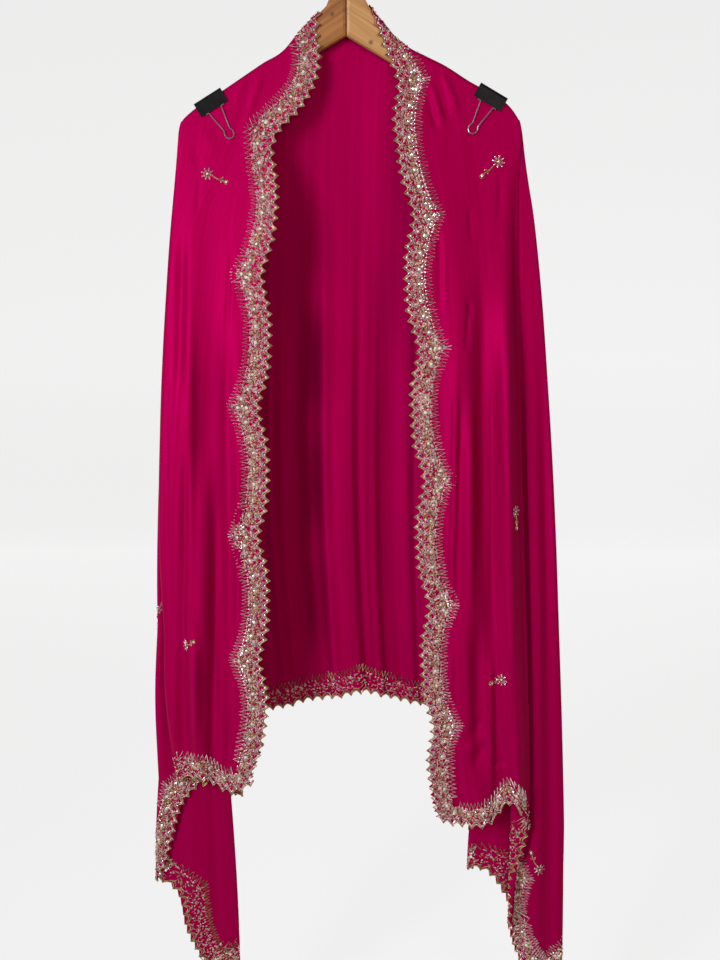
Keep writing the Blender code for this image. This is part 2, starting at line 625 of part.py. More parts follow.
def add_clip(side):
    """A binder clip over the arm: sprung sheet body and two wire handles."""
    frame = clip_frame(side)
    half = CLIP_LENGTH / 2
    profile = [
        (-CLIP_HALF_MOUTH, -CLIP_BELOW_RIDGE),
        (-CLIP_HALF_SPINE, 0.0),
        (-CLIP_HALF_SPINE + 0.0012, CLIP_ABOVE_RIDGE - 0.0008),
        (-CLIP_HALF_SPINE + 0.0030, CLIP_ABOVE_RIDGE),
    ]
    profile = profile + [(-y, z) for y, z in profile[::-1]]
    along = np.array([-half, 0.0, half])
    grid = np.array([[(x, y, z) for y, z in profile] for x in along])
    body = add_sheet(f"clip_body_{side}", grid, CLIP_SHEET, "black_steel")
    body.parent = frame
    foot_z = -CLIP_BELOW_RIDGE - HANDLE_FOOT_BELOW
    for face, toward in (("front", -1.0), ("rear", 1.0)):
        foot_y = toward * (CLIP_HALF_MOUTH + CLIP_SHEET / 2 + HANDLE_FOOT_OUT)
        pivot = bpy.data.objects.new(f"clip_{side}_{face}_pivot", None)
        pivot.location = (0.0, foot_y, foot_z)
        pivot.rotation_euler = (toward * HANDLE_REST_LEAN, 0.0, 0.0)
        pivot.parent = frame
        PART.objects.link(pivot)
        outline = [
            (HANDLE_HALF_FOOT + 0.0040, 0.0),
            (HANDLE_HALF_FOOT, 0.0),
            (HANDLE_HALF_WAIST + 0.0006, -HANDLE_LENGTH * 0.62),
            (HANDLE_HALF_WAIST, -HANDLE_LENGTH * 0.70),
            (HANDLE_HALF_LOOP, -HANDLE_LENGTH * 0.82),
            (HANDLE_HALF_LOOP - 0.0008, -HANDLE_LENGTH * 0.92),
            (HANDLE_HALF_LOOP * 0.45, -HANDLE_LENGTH * 0.99),
        ]
        points = [(x, 0.0, z) for x, z in outline]
        points += [(0.0, 0.0, -HANDLE_LENGTH)]
        points += [(-x, 0.0, z) for x, z in outline[::-1]]
        handle = add_wire(f"clip_handle_{side}_{face}", points, HANDLE_WIRE)
        handle.parent = pivot


for old in list(bpy.data.objects):
    bpy.data.objects.remove(old)
PART = bpy.data.collections.new("dupatta_on_hanger")
bpy.context.scene.collection.children.link(PART)

for half_name in ("left", "right"):
    add_front(half_name)
    add_side(half_name)
    add_wood(half_name)
    add_clip(half_name)
add_back()
add_hook()
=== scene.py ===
"""The dupatta stole on its wooden hanger, clipped in place.

One long rectangle of crepe satin with a scalloped border hangs over a coat
hanger. Each stretch of it is a surface P(s, t) on the same tables as the solids,
worked out as whole numpy arrays. Metres, +Z up, front towards -Y.
"""

import math
from functools import partial

import bpy
import numpy as np
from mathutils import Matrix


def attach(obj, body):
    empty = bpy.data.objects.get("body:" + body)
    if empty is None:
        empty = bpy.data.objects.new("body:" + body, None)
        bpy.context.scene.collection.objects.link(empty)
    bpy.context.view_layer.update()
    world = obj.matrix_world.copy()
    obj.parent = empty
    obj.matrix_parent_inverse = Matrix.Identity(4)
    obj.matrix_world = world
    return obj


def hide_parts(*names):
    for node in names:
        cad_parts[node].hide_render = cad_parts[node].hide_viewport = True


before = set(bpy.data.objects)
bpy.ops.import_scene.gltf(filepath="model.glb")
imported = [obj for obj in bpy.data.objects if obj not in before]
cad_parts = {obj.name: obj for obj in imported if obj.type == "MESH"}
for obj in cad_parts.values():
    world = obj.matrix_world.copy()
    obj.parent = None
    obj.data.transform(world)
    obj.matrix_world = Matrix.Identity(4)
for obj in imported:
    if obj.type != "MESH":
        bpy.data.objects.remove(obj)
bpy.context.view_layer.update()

# ---- the same forms as the solids ---------------------------------------
SCALLOP_PITCH = 0.174
NOTCH_DEPTH = 0.012
RIDGE_DEPTH = 0.0074
RIDGE_DROP = 0.0066
OVER_ARM = 0.0105
NECK_RISE = 0.044
NECK_SEAM_DROP = 0.0022
BODY_DEPTH = 0.040
BODY_DEPTH_REACH = 0.40
SIDE_FOLDS = 4
ROLL_DEPTH = 0.009
ROLL_SHARE = 0.07
SIDE_FOLD_ROUNDNESS = 0.8
SPREAD_START = 0.12
BACK_HEM_OUTER_Z = -1.105
BACK_HEM_MIDDLE_Z = -1.078

# Distances from the middle (reach) are positive on both sides.
RIDGE = {
    "left": {
        "reach": [0.0262, 0.0642, 0.0801, 0.1104, 0.1395, 0.1728, 0.1994, 0.2196],
        "z": [-0.1122, -0.1494, -0.1681, -0.1868, -0.2056, -0.2271, -0.2435, -0.2600],
    },
    "right": {
        "reach": [0.0297, 0.0689, 0.0827, 0.1031, 0.1294, 0.1625, 0.1956, 0.2156, 0.2290],
        "z": [-0.1122, -0.1568, -0.1668, -0.1768, -0.1893, -0.2094, -0.2271, -0.2410, -0.2580],
    },
}
FRONT_EDGE = {
    "left": {
        "z": [-0.1122, -0.165, -0.216, -0.250, -0.288, -0.375, -0.597, -0.891, -1.050, -1.1645],
        "reach": [0.0262, 0.0280, 0.0373, 0.0555, 0.0770, 0.0866, 0.0983, 0.1030, 0.1060, 0.1230],
    },
    "right": {
        "z": [-0.1122, -0.187, -0.2435, -0.344, -0.476, -0.643, -0.813, -0.984, -1.120, -1.2183],
        "reach": [0.0297, 0.0470, 0.0541, 0.0675, 0.0735, 0.0824, 0.0903, 0.0985, 0.1055, 0.1230],
    },
}
OUTER_EDGE = {
    "left": {
        "z": [-0.2600, -0.365, -0.632, -0.850, -1.000, -1.1675],
        "reach": [0.2196, 0.2328, 0.2490, 0.2560, 0.2480, 0.2290],
    },
    "right": {
        "z": [-0.2580, -0.270, -0.340, -0.433, -0.603, -0.834, -1.050, -1.2400],
        "reach": [0.2290, 0.2300, 0.2245, 0.2235, 0.2284, 0.2359, 0.2440, 0.2520],
    },
}
FRONT_HEM = {
    "left": {"along": [0.0, 0.48, 0.71, 1.0], "z": [-1.1645, -1.1779, -1.1601, -1.1675]},
    "right": {
        "along": [0.0, 0.20, 0.61, 0.88, 1.0],
        "z": [-1.2183, -1.2288, -1.2243, -1.2078, -1.2400],
    },
}
# Soft vertical folds: place at the top and at the hem, depth, half width, start.
FRONT_FOLDS = {
    "left": [
        (0.30, 0.34, 0.003, 0.18, 0.15),
        (0.55, 0.52, -0.005, 0.12, 0.05),
        (0.80, 0.74, 0.008, 0.10, 0.02),
        (0.93, 0.90, -0.004, 0.08, 0.10),
    ],
    "right": [
        (0.25, 0.30, -0.004, 0.10, 0.20),
        (0.45, 0.52, 0.008, 0.11, 0.05),
        (0.70, 0.74, -0.005, 0.09, 0.03),
        (0.90, 0.91, 0.008, 0.06, 0.10),
    ],
}
BACK_FOLDS = [
    (0.08, 0.10, 0.010, 0.05, 0.02),
    (0.20, 0.24, -0.005, 0.06, 0.05),
    (0.36, 0.37, 0.012, 0.07, 0.10),
    (0.50, 0.50, -0.008, 0.07, 0.20),
    (0.66, 0.63, 0.012, 0.07, 0.10),
    (0.82, 0.78, -0.005, 0.06, 0.05),
    (0.93, 0.91, 0.010, 0.05, 0.02),
]
SIDE_FALL = {
    "left": {
        "inward": [0.030, 0.070, 0.075, 0.066],
        "outward": [0.000, 0.048, 0.038, 0.034, -0.010],
        "spread": 3.0,
    },
    "right": {
        "inward": [0.018, 0.078, 0.072, 0.066],
        "outward": [0.000, 0.062, 0.048, 0.040, 0.000],
        "spread": 0.4,
    },
}
# How far the cut has turned, in degrees, from the front (0) to the back (1) of the falls.
HEM_TURN = {
    "left": [(0.0, 0.0), (0.125, 9.0), (0.25, 32.0), (0.5, 52.0), (0.75, 72.0), (1.0, 90.0)],
    "right": [(0.0, 0.0), (0.125, 30.0), (0.25, 43.0), (0.5, 61.0), (0.75, 76.0), (1.0, 90.0)],
}
# Narrower creases down the falls: place round them, half width, depth, start.
SIDE_CREASES = {
    "left": [
        (0.045, 0.012, 0.0030, 0.20), (0.165, 0.014, 0.0055, 0.12), (0.205, 0.010, 0.0040, 0.35),
        (0.310, 0.013, -0.0045, 0.20), (0.415, 0.012, 0.0050, 0.15), (0.455, 0.009, -0.0030, 0.40),
        (0.580, 0.014, 0.0045, 0.10), (0.690, 0.012, -0.0050, 0.25), (0.830, 0.013, -0.0040, 0.15),
        (0.930, 0.010, 0.0035, 0.30),
    ],
    "right": [
        (0.172, 0.010, 0.0060, 0.15), (0.196, 0.009, -0.0035, 0.30), (0.215, 0.008, 0.0060, 0.18),
        (0.305, 0.012, -0.0050, 0.12), (0.345, 0.010, 0.0030, 0.40), (0.425, 0.013, 0.0045, 0.20),
        (0.570, 0.012, -0.0050, 0.15), (0.665, 0.011, 0.0040, 0.30), (0.820, 0.014, 0.0050, 0.10),
        (0.940, 0.010, -0.0035, 0.35),
    ],
}
# And down the back, written as BACK_FOLDS is.
BACK_CREASES = [
    (0.135, 0.150, 0.0045, 0.014, 0.05),
    (0.170, 0.195, -0.0035, 0.010, 0.20),
    (0.290, 0.300, -0.0050, 0.016, 0.10),
    (0.415, 0.425, 0.0040, 0.012, 0.25),
    (0.455, 0.450, -0.0050, 0.015, 0.08),
    (0.560, 0.545, 0.0045, 0.012, 0.18),
    (0.610, 0.590, -0.0040, 0.010, 0.30),
    (0.735, 0.710, 0.0055, 0.015, 0.06),
    (0.865, 0.850, -0.0045, 0.012, 0.15),
]
SIGN = {"left": -1.0, "right": 1.0}
NOTCH_START = {"left": 0.190, "right": 0.104}


def smooth_table(xs, ys, x):
    """Reads a table at x along a cubic through its rows, with three-point slopes."""
    xs = np.asarray(xs, float)
    ys = np.asarray(ys, float)
    if xs[0] > xs[-1]:
        xs = xs[::-1]
        ys = ys[::-1]
    slopes = np.gradient(ys, xs)
    x = np.clip(x, xs[0], xs[-1])
    row = np.clip(np.searchsorted(xs, x, side="right") - 1, 0, len(xs) - 2)
    step = xs[row + 1] - xs[row]
    f = (x - xs[row]) / step
    return (
        (2 * f**3 - 3 * f**2 + 1) * ys[row]
        + (f**3 - 2 * f**2 + f) * step * slopes[row]
        + (3 * f**2 - 2 * f**3) * ys[row + 1]
        + (f**3 - f**2) * step * slopes[row + 1]
    )


def side_by_side(*arrays):
    """Joins arrays along a new last axis, as the X, Y and Z of points."""
    return np.stack(arrays, axis=-1)


def smooth_step(x):
    """0 below 0, 1 above 1 and 3x^2 - 2x^3 between."""
    x = np.clip(x, 0.0, 1.0)
    return x * x * (3.0 - 2.0 * x)


def bell(distance, width):
    """1 on the line, falling to nothing about two widths away."""
    return np.exp(-((distance / width) ** 2))


def running(steps):
    """The distance from the start to each place, from the steps between them."""
    return np.concatenate([[0.0], np.cumsum(steps)])


def unit(vectors):
    """The vectors made one long."""
    return vectors / np.maximum(np.linalg.norm(vectors, axis=-1, keepdims=True), 1e-12)


def smoothed(rows, times):
    """Averages each row with its neighbours, so many times over."""
    for _ in range(times):
        rows[1:-1] = 0.25 * rows[:-2] + 0.5 * rows[1:-1] + 0.25 * rows[2:]
    return rows


def ridge_z(side, reach):
    """Height of the arm's upper edge."""
    return smooth_table(RIDGE[side]["reach"], RIDGE[side]["z"], reach)


def drape_depth(down):
    """A quarter ellipse over the arm, then a slow opening out."""
    over_arm = 1.0 - np.clip(down / RIDGE_DROP, 0.0, 1.0)
    open_out = smooth_step(down / BODY_DEPTH_REACH)
    return RIDGE_DEPTH * np.sqrt(1.0 - over_arm**2) + BODY_DEPTH * open_out


def roll(edge_distance, t):
    """A quarter circle back at a stretch's outer fold, edge_distance as a share."""
    into = np.clip(1.0 - edge_distance / ROLL_SHARE, 0.0, 1.0)
    return ROLL_DEPTH * smooth_step(t / 0.3) * (1.0 - np.sqrt(1.0 - into**2))


def fold_relief(folds, across, t):
    """Sum of depth * growth * bell over the soft folds."""
    total = np.zeros(np.broadcast(across, t).shape)
    for top, hem, depth, width, start in folds:
        centre = top + (hem - top) * t
        growth = smooth_step((t - start) / 0.55)
        total += depth * growth * bell(across - centre, width)
    return total


# The garment's outline: height, then how far from the middle the cloth may stand.
OUTLINE_Z = [-0.2375, -0.2426, -0.2477, -0.2579, -0.2682, -0.2887, -0.3093, -0.3508, -0.4137,
             -0.4934, -0.6017, -0.7122, -0.8251, -0.9405, -1.0584, -1.1789, -1.3021]
OUTLINE = {
    "left": [0.1910, 0.2015, 0.2098, 0.2178, 0.2215, 0.2242, 0.2261, 0.2304, 0.2367,
             0.2427, 0.2500, 0.2580, 0.2637, 0.2689, 0.2742, 0.2767, 0.2808],
    "right": [0.2140, 0.2200, 0.2245, 0.2292, 0.2320, 0.2356, 0.2387, 0.2457, 0.2545,
              0.2638, 0.2732, 0.2829, 0.2913, 0.2978, 0.3052, 0.3113, 0.3160],
}
# Over how many metres the cloth that stands past the outline is drawn in.
OUTLINE_SOFTNESS = 0.004
# Where the outer bends lean out further than the solid's: height, metres.
LEAN_OUT = {
    "left": {
        "z": [-0.94, -1.05, -1.12, -1.18, -1.24, -1.34],
        "out": [0.0, 0.009, 0.011, 0.011, 0.009, 0.0],
    },
    "right": {
        "z": [-0.26, -0.30, -0.36, -0.50, -1.10, -1.30],
        "out": [0.003, 0.004, 0.004, 0.007, 0.006, 0.002],
    },
}
# How far from the middle the lean starts.
LEAN_START = {"left": 0.215, "right": 0.230}


def soft_outline(points):
    """Draws the cloth to the garment's outline.

    |X| first grows by the lean there, from LEAN_START outwards; what then stands past
    the outline's reach r is drawn in to r - w exp(-(|X| - r + w) / w), w the softness.
    """
    x, z = points[..., 0], points[..., 2]
    for side, sign in SIGN.items():
        out = sign * x
        lean = smooth_table(LEAN_OUT[side]["z"], LEAN_OUT[side]["out"], z)
        hanging = smooth_step((RIDGE[side]["z"][-1] - z) / 0.01)
        out = out + lean * hanging * smooth_step((out - LEAN_START[side]) / 0.025)
        near = smooth_table(OUTLINE_Z, OUTLINE[side], z) - OUTLINE_SOFTNESS
        over = np.maximum(out - near, 0.0) / OUTLINE_SOFTNESS
        drawn = near + OUTLINE_SOFTNESS * (1.0 - np.exp(-over))
        x = np.where(sign * x > 0, sign * np.where(over > 0, drawn, out), x)
    points[..., 0] = x
    return points


def front_surface(side, s, t):
    """Coons patch between the arm, the free edge (s 0), the outer fold (s 1) and hem."""
    s, t = np.broadcast_arrays(np.asarray(s, float), np.asarray(t, float))
    face = np.where(t < 0, 1.0, -1.0)
    t = np.abs(t)
    ridge, edge, outer = RIDGE[side], FRONT_EDGE[side], OUTER_EDGE[side]
    inner_z = ridge["z"][0] + (edge["z"][-1] - ridge["z"][0]) * t
    outer_z = ridge["z"][-1] + (outer["z"][-1] - ridge["z"][-1]) * t
    inner_x = smooth_table(edge["z"], edge["reach"], inner_z)
    outer_x = smooth_table(outer["z"], outer["reach"], outer_z)
    top_x = ridge["reach"][0] + (ridge["reach"][-1] - ridge["reach"][0]) * s
    top_z = ridge_z(side, top_x)
    hem_z = smooth_table(FRONT_HEM[side]["along"], FRONT_HEM[side]["z"], s)
    x = (1 - s) * inner_x + s * outer_x
    straight_top = (1 - s) * ridge["z"][0] + s * ridge["z"][-1]
    straight_hem = (1 - s) * edge["z"][-1] + s * outer["z"][-1]
    z = (1 - s) * inner_z + s * outer_z
    z = z + (1 - t) * (top_z - straight_top) + t * (hem_z - straight_hem)
    relief = fold_relief(FRONT_FOLDS[side], s, t) * smooth_step((1 - s) / 0.1)
    depth = drape_depth(t * (top_z - hem_z)) + relief - roll(1 - s, t)
    return soft_outline(np.stack([SIGN[side] * x, face * depth, z], axis=-1))


def front_size(side, s, t):
    """(width, height) of the front near (s, t), to turn metres into s and t."""
    across = front_surface(side, 1.0, t) - front_surface(side, 0.0, t)
    down = front_surface(side, s, 1.0) - front_surface(side, s, 0.0)
    return np.hypot(across[..., 0], across[..., 2]), np.hypot(down[..., 0], down[..., 2])


def spread_share(side, t):
    """How much of their full way the outer bends stand out, a share t of the way down."""
    return t ** SIDE_FALL[side]["spread"] * smooth_step(t / SPREAD_START)


def back_surface(s, t):
    """The back from the left end of the hanger (s 0) to its right end (s 1)."""
    s, t = np.broadcast_arrays(np.asarray(s, float), np.asarray(t, float))
    ends = {side: SIGN[side] * RIDGE[side]["reach"][-1] for side in SIGN}
    top_x = ends["left"] + (ends["right"] - ends["left"]) * s
    top_z = np.where(top_x < 0, ridge_z("left", -top_x), ridge_z("right", top_x))
    x = np.zeros(s.shape)
    for side, share in (("left", 1 - s), ("right", s)):
        tip_z = RIDGE[side]["z"][-1]
        edge_z = tip_z + (BACK_HEM_OUTER_Z - tip_z) * t
        reach = smooth_table(OUTER_EDGE[side]["z"], OUTER_EDGE[side]["reach"], edge_z)
        fall = SIDE_FALL[side]
        x = x + share * SIGN[side] * (reach + fall["outward"][-1] * spread_share(side, t))
    hem_z = BACK_HEM_OUTER_Z + (BACK_HEM_MIDDLE_Z - BACK_HEM_OUTER_Z) * np.sin(math.pi * s) ** 2
    z = top_z + (hem_z - top_z) * t
    relief = fold_relief(BACK_FOLDS + BACK_CREASES, s, t)
    relief = relief * smooth_step(s / 0.08) * smooth_step((1 - s) / 0.08)
    depth = drape_depth(t * (top_z - hem_z)) + relief - roll(np.minimum(s, 1 - s), t)
    return soft_outline(side_by_side(x, depth, z))


def neck_surface(s, t):
    """The border behind the hook, from its free edge (t 0) down to the back (t 1)."""
    s, t = np.broadcast_arrays(np.asarray(s, float), np.asarray(t, float))
    left, right = RIDGE["left"], RIDGE["right"]
    rise = np.sin(math.pi * s)
    free_x = -left["reach"][0] + (right["reach"][0] + left["reach"][0]) * s
    seam_x = -left["reach"][1] + (right["reach"][1] + left["reach"][1]) * s
    free_z = left["z"][0] - OVER_ARM - NECK_SEAM_DROP + NECK_RISE * rise
    ridge_seam = (1 - s) * left["z"][1] + s * right["z"][1]
    seam_z = ridge_seam - OVER_ARM - NECK_SEAM_DROP + 0.55 * NECK_RISE * rise
    x = free_x + (seam_x - free_x) * t
    z = free_z + (seam_z - free_z) * t
    return side_by_side(x, RIDGE_DEPTH + 0.0010 * rise, z)


def side_length(side, q):
    """From the arm's end to the hem round the folds: length / cos, then width / sin."""
    tip_z = RIDGE[side]["z"][-1]
    length = tip_z - OUTER_EDGE[side]["z"][-1]
    width = tip_z - BACK_HEM_OUTER_Z
    turns = 4 * math.pi * SIDE_FOLDS
    places, degrees = zip(*HEM_TURN[side])
    angle = np.radians(smooth_table(places, degrees, q - np.sin(turns * q) / turns))
    return np.minimum(
        length / np.maximum(np.cos(angle), 0.05), width / np.maximum(np.sin(angle), 0.05)
    )


def side_surface(side, q, t):
    """The folds under one end of the hanger, front (q 0) to back (q 1)."""
    q, t = np.broadcast_arrays(np.asarray(q, float), np.asarray(t, float))
    fall = SIDE_FALL[side]
    down = t * side_length(side, q)
    z = RIDGE[side]["z"][-1] - down
    seam_x = smooth_table(OUTER_EDGE[side]["z"], OUTER_EDGE[side]["reach"], z)
    rows = np.arange(SIDE_FOLDS + 1) / SIDE_FOLDS
    outward = smooth_table(rows, fall["outward"], q)
    inward = np.interp(q, (np.arange(SIDE_FOLDS) + 0.5) / SIDE_FOLDS, fall["inward"])
    wave = 0.5 * (1 - np.cos(2 * math.pi * SIDE_FOLDS * q))
    bulge = RIDGE_DEPTH * np.sin(math.pi * q) * (1 - smooth_step(t / 0.3))
    x = seam_x + bulge + spread_share(side, t) * outward * (1 - wave)
    x = x - smooth_step(t) * inward * wave
    turns = 4 * math.pi * SIDE_FOLDS
    sway = SIDE_FOLD_ROUNDNESS * np.sin(turns * q) * smooth_step(t / 0.2) / turns
    depth = (2 * (q + sway) - 1) * (drape_depth(down) - roll(0.0, t))
    for centre, width, deep, start in SIDE_CREASES[side]:
        growth = smooth_step((t - start) / 0.25)
        depth = depth + deep * growth * bell(q - centre, width)
    return soft_outline(np.stack([SIGN[side] * x, depth, z], -1))


# ---- mesh helpers --------------------------------------------------------
def linear(code):
    """A colour #rrggbb as the linear RGBA that shader sockets take."""
    parts = np.array([int(code[i : i + 2], 16) for i in (1, 3, 5)]) / 255.0
    values = np.where(parts <= 0.04045, parts / 12.92, ((parts + 0.055) / 1.055) ** 2.4)
    return (*values.tolist(), 1.0)


def new_object(name, mesh, materials):
    """A piece of the garment, which rides with the hanger."""
    obj = bpy.data.objects.new(name, mesh)
    bpy.context.scene.collection.objects.link(obj)
    for material in materials:
        mesh.materials.append(material)
    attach(obj, "root")
    return obj


def grid_quads(index):
    """The four corners of each square of a grid of vertex numbers."""
    return side_by_side(index[:-1, :-1], index[1:, :-1], index[1:, 1:], index[:-1, 1:])


def cloth_mesh(name, patches):
    """Joins patches (points, cloth coordinates, turned) into one welded mesh.

    Each patch is a grid; corners nearer than 0.01 mm are made one vertex, and the
    cloth coordinates, in metres across and along the cloth, become the UV map.
    """
    points, flat, quads, first = [], [], [], 0
    for grid, cloth, turned in patches:
        rows, columns = grid.shape[:2]
        index = first + np.arange(rows * columns).reshape(rows, columns)
        quad = grid_quads(index)
        quads.append((quad[..., ::-1] if turned else quad).reshape(-1, 4))
        points.append(grid.reshape(-1, 3))
        flat.append(cloth.reshape(-1, 2))
        first += rows * columns
    points, flat, quads = (np.concatenate(part) for part in (points, flat, quads))
    _, kept, joined = np.unique(
        np.round(points, 5), axis=0, return_index=True, return_inverse=True
    )
    joined = joined.reshape(-1)[quads]
    whole = (np.diff(np.sort(joined, axis=1), axis=1) > 0).all(axis=1)
    mesh = bpy.data.meshes.new(name)
    mesh.from_pydata(points[kept], [], joined[whole])
    layer = mesh.uv_layers.new(name="cloth")
    layer.data.foreach_set("uv", flat[quads[whole]].astype(np.float32).ravel())
    mesh.shade_smooth()
    return mesh


# ---- the cut edge --------------------------------------------------------
# Where each border's pattern starts along it: a notch lies there.
HEM_START = -0.035
FALL_START = 0.09
BACK_START = 0.06
PICOT_PITCH = 0.0138
PICOT_HEIGHT = 0.0072
PICOT_MARGIN = 0.0014
BORDER_STRIP = 0.032
SIDE_STRIP = 0.070
NECK_STRIP = 0.044


def notch(distance, start):
    """How far the free edge is cut back: 0 on a scallop's crest, 1 in a notch."""
    return np.abs(np.cos(math.pi * (distance - start) / SCALLOP_PITCH)) ** 5.0


def zigzag(distance):
    """0 on a picot's tip, 1 in the valley between two, straight between."""
    phase = distance / PICOT_PITCH
    return 2.0 * np.abs(phase - np.floor(phase + 0.5))


def picot(distance):
    """0 on a picot's point, 1 in the round valley between two."""
    return np.sin(0.5 * math.pi * zigzag(distance)) ** 0.9


def cut_back(distance, start):
    """The free edge's distance in from the crest line, picots and notches together."""
    return NOTCH_DEPTH * notch(distance, start) + PICOT_HEIGHT * picot(distance)


# ---- creases -------------------------------------------------------------
# Each row, in mm: start x, z, end x, z, half width, depth (standing out is positive).
CREASES = {
    "left": [
        (-230.4, -497.9, -243.8, -1033.3, 4.7, 3.6), (-215.9, -388.3, -222.3, -656.7, 6.6, -5.4),
        (-203.7, -484.9, -211.7, -904.7, 5.3, 3.8), (-214.2, -656.7, -232.2, -1194.9, 5.9, -8),
        (-190.3, -670.2, -199.5, -1047.8, 11.8, 10), (-159.1, -497.9, -161, -1076.9, 9.6, -7.8),
        (-143.5, -683.7, -150.7, -961.5, 5.2, 4), (-176.6, -724.4, -187.8, -1165.1, 5.9, -4.8),
        (-206.8, -933, -213.5, -1180, 5.9, 6), (-171.4, -961.5, -176.8, -1180, 5.2, 3.3),
        (-186.7, -961.5, -192.4, -1180, 5.2, -3), (-161.9, -1047.8, -164.1, -1180, 4.4, -2.4),
        (-109.2, -197.9, -139, -280.6, 5, 3), (-118.2, -197.9, -144.1, -268, 4.4, -4.5),
        (-96.1, -190.5, -130.9, -262.9, 3.8, -3.3), (-143.1, -207.9, -161.9, -245.3, 4.7, -2.7),
        (-130, -200.4, -148.8, -240.3, 4.4, 1.2), (-190.8, -255.4, -159.9, -275.5, 4.4, -3),
        (-191.2, -271.2, -171.2, -306.2, 4.7, 1.2), (-204.2, -273.7, -195.1, -331.3, 5.3, -1.4),
        (-177.7, -250.4, -143.9, -260.4, 3.8, 1.2), (-193.8, -333.8, -198.9, -387.1, 2.4, -1.5),
        (-149.7, -415.2, -160.1, -556.8, 2.6, -2.1), (-144.6, -420.3, -154.4, -537.1, 2.4, 1.6),
        (-244.6, -848.5, -260, -1285.1, 6.6, -6),
    ],
    "right": [
        (112.7, -190.5, 138.2, -268, 4.4, -5.1), (123.1, -193, 151.2, -262.9, 4.7, 3.3),
        (102.5, -212.9, 121.4, -280.6, 3.8, -4.2), (108.9, -202.9, 129.2, -275.5, 3.8, 3.6),
        (138.1, -257.9, 179.6, -237.8, 4.4, -3), (143.5, -270.5, 182.5, -255.4, 4.4, 2.3),
        (133.4, -190.5, 166.5, -235.3, 5.3, -2.1), (162.7, -366.7, 164.9, -422.9, 2.4, -2.3),
        (205, -325, 201.3, -404.9, 2.9, -2.4), (187.3, -430.6, 210.6, -412.6, 2.1, -1.8),
        (122.5, -388.3, 124, -526.6, 2.6, -2.7), (129.1, -388.3, 129.3, -526.6, 2.6, 1.9),
        (163.2, -487.5, 156.4, -571.4, 2.4, -3), (158, -495.3, 171.7, -524, 2.1, -2.1),
        (145.5, -550.3, 142.1, -933, 3.2, 5.2), (152.5, -576.7, 153.5, -961.5, 5, -4.4),
        (178.2, -433.1, 186.2, -933, 9.6, -6.6), (206.8, -420.3, 220.4, -1135.5, 8.8, 6),
        (194.4, -537.1, 200.5, -961.5, 4.7, -4.8), (164.9, -603.2, 168.7, -961.5, 5.9, 4.8),
        (137.7, -793, 148.9, -921.7, 2.6, 2.7), (132.9, -848.5, 145.2, -961.5, 2.4, -2.4),
        (177.5, -904.7, 183.6, -1209.8, 11.8, -12), (197.8, -961.5, 202, -1209.8, 3.8, 6.4),
        (228.2, -961.5, 235.4, -1180, 4.4, -3.6), (132.1, -1024.6, 160.4, -1059.4, 2.6, -2.4),
        (135, -1039.1, 157.7, -1071, 2.4, 2.1), (155.4, -1109.1, 194, -1065.2, 3.2, -3),
        (161.2, -1123.8, 200, -1088.6, 3.2, 2.7), (167.2, -1147.4, 197.4, -1103.2, 2.6, -2.4),
        (195.2, -1138.5, 231.5, -1126.7, 2.6, -2.4), (198.2, -1147.4, 234.5, -1137, 2.6, 1.9),
        (145.2, -961.5, 143.5, -1047.8, 3.2, 2.4),
    ],
}


def crease_relief(rows, x, z):
    """Sum of soft troughs along straight lines: depth * ends * bell."""
    total = np.zeros(np.shape(x))
    for x0, z0, x1, z1, width, depth in rows:
        length = math.hypot(x1 - x0, z1 - z0)
        ux, uz = (x1 - x0) / length, (z1 - z0) / length
        along = ((x - x0) * ux + (z - z0) * uz) / length
        across = (x - x0) * uz - (z - z0) * ux
        ends = smooth_step(along / 0.3) * smooth_step((1 - along) / 0.4)
        total += depth * ends * bell(across, width)
    return total


def front_cloth(side, s, t):
    """The front with its creases, which push it out or in along Y.

    A crease fades at the outer fold and, where it goes in, over the arm. The fronts
    are about a metre long, so t is taken as the metres down.
    """
    points = front_surface(side, s, t)
    down = np.where(np.asarray(t) < 0, 0.0, np.abs(t))
    relief = crease_relief(np.array(CREASES[side]) / 1000, points[..., 0], points[..., 2])
    fades = np.where(relief > 0, smooth_step(down / 0.012), smooth_step((down - 0.034) / 0.05))
    points[..., 1] -= fades * smooth_step((1 - s) / 0.05) * relief
    return points


# ---- the stole -----------------------------------------------------------
CLOTH_THICKNESS = 0.0007
# The table of the long border: rows down it, columns in from the edge and their reach.
TABLE_ROWS = 401
TABLE_COLUMNS = 34
TABLE_REACH = 0.066
# Where the long border begins to turn along the hem, and over what length.
CORNER_START = 0.11
CORNER_LENGTH = 0.10
# Where, from the arm down, the drawn-out tip of the long border gives way to the cut.
TIP_START = 0.012
TIP_LENGTH = 0.04
HEM_PLACES = 1600
# How far behind the arm the bead work goes, as a share of the front.
BEHIND_ARM = -0.009
NEWTON_STEPS = 6
ROWS_DOWN = 160
FRONT_COLUMNS = 40
FOLD_COLUMNS = 32
BACK_COLUMNS = 141
STRIP_STEP = 0.0020
STRIP_ROWS = 12
FALL_STRIP_STEP = 0.0027
FALL_STRIP_ROWS = 13


def shared_rows():
    """The places down the outer folds, shared by the front, the side and the back."""
    over = [0.0, 0.0006, 0.0014, 0.0028, 0.0045, 0.0066, OVER_ARM]
    return np.concatenate([over, np.linspace(0.016, 1.0, ROWS_DOWN)])


def behind_rows():
    """The same places over the arm, on its hidden side."""
    return -shared_rows()[6:0:-1]


def drop(surface, s):
    """How far each place along a stretch hangs, from the arm to the hem."""
    return surface(s, 0.0)[..., 2] - surface(s, 1.0)[..., 2]


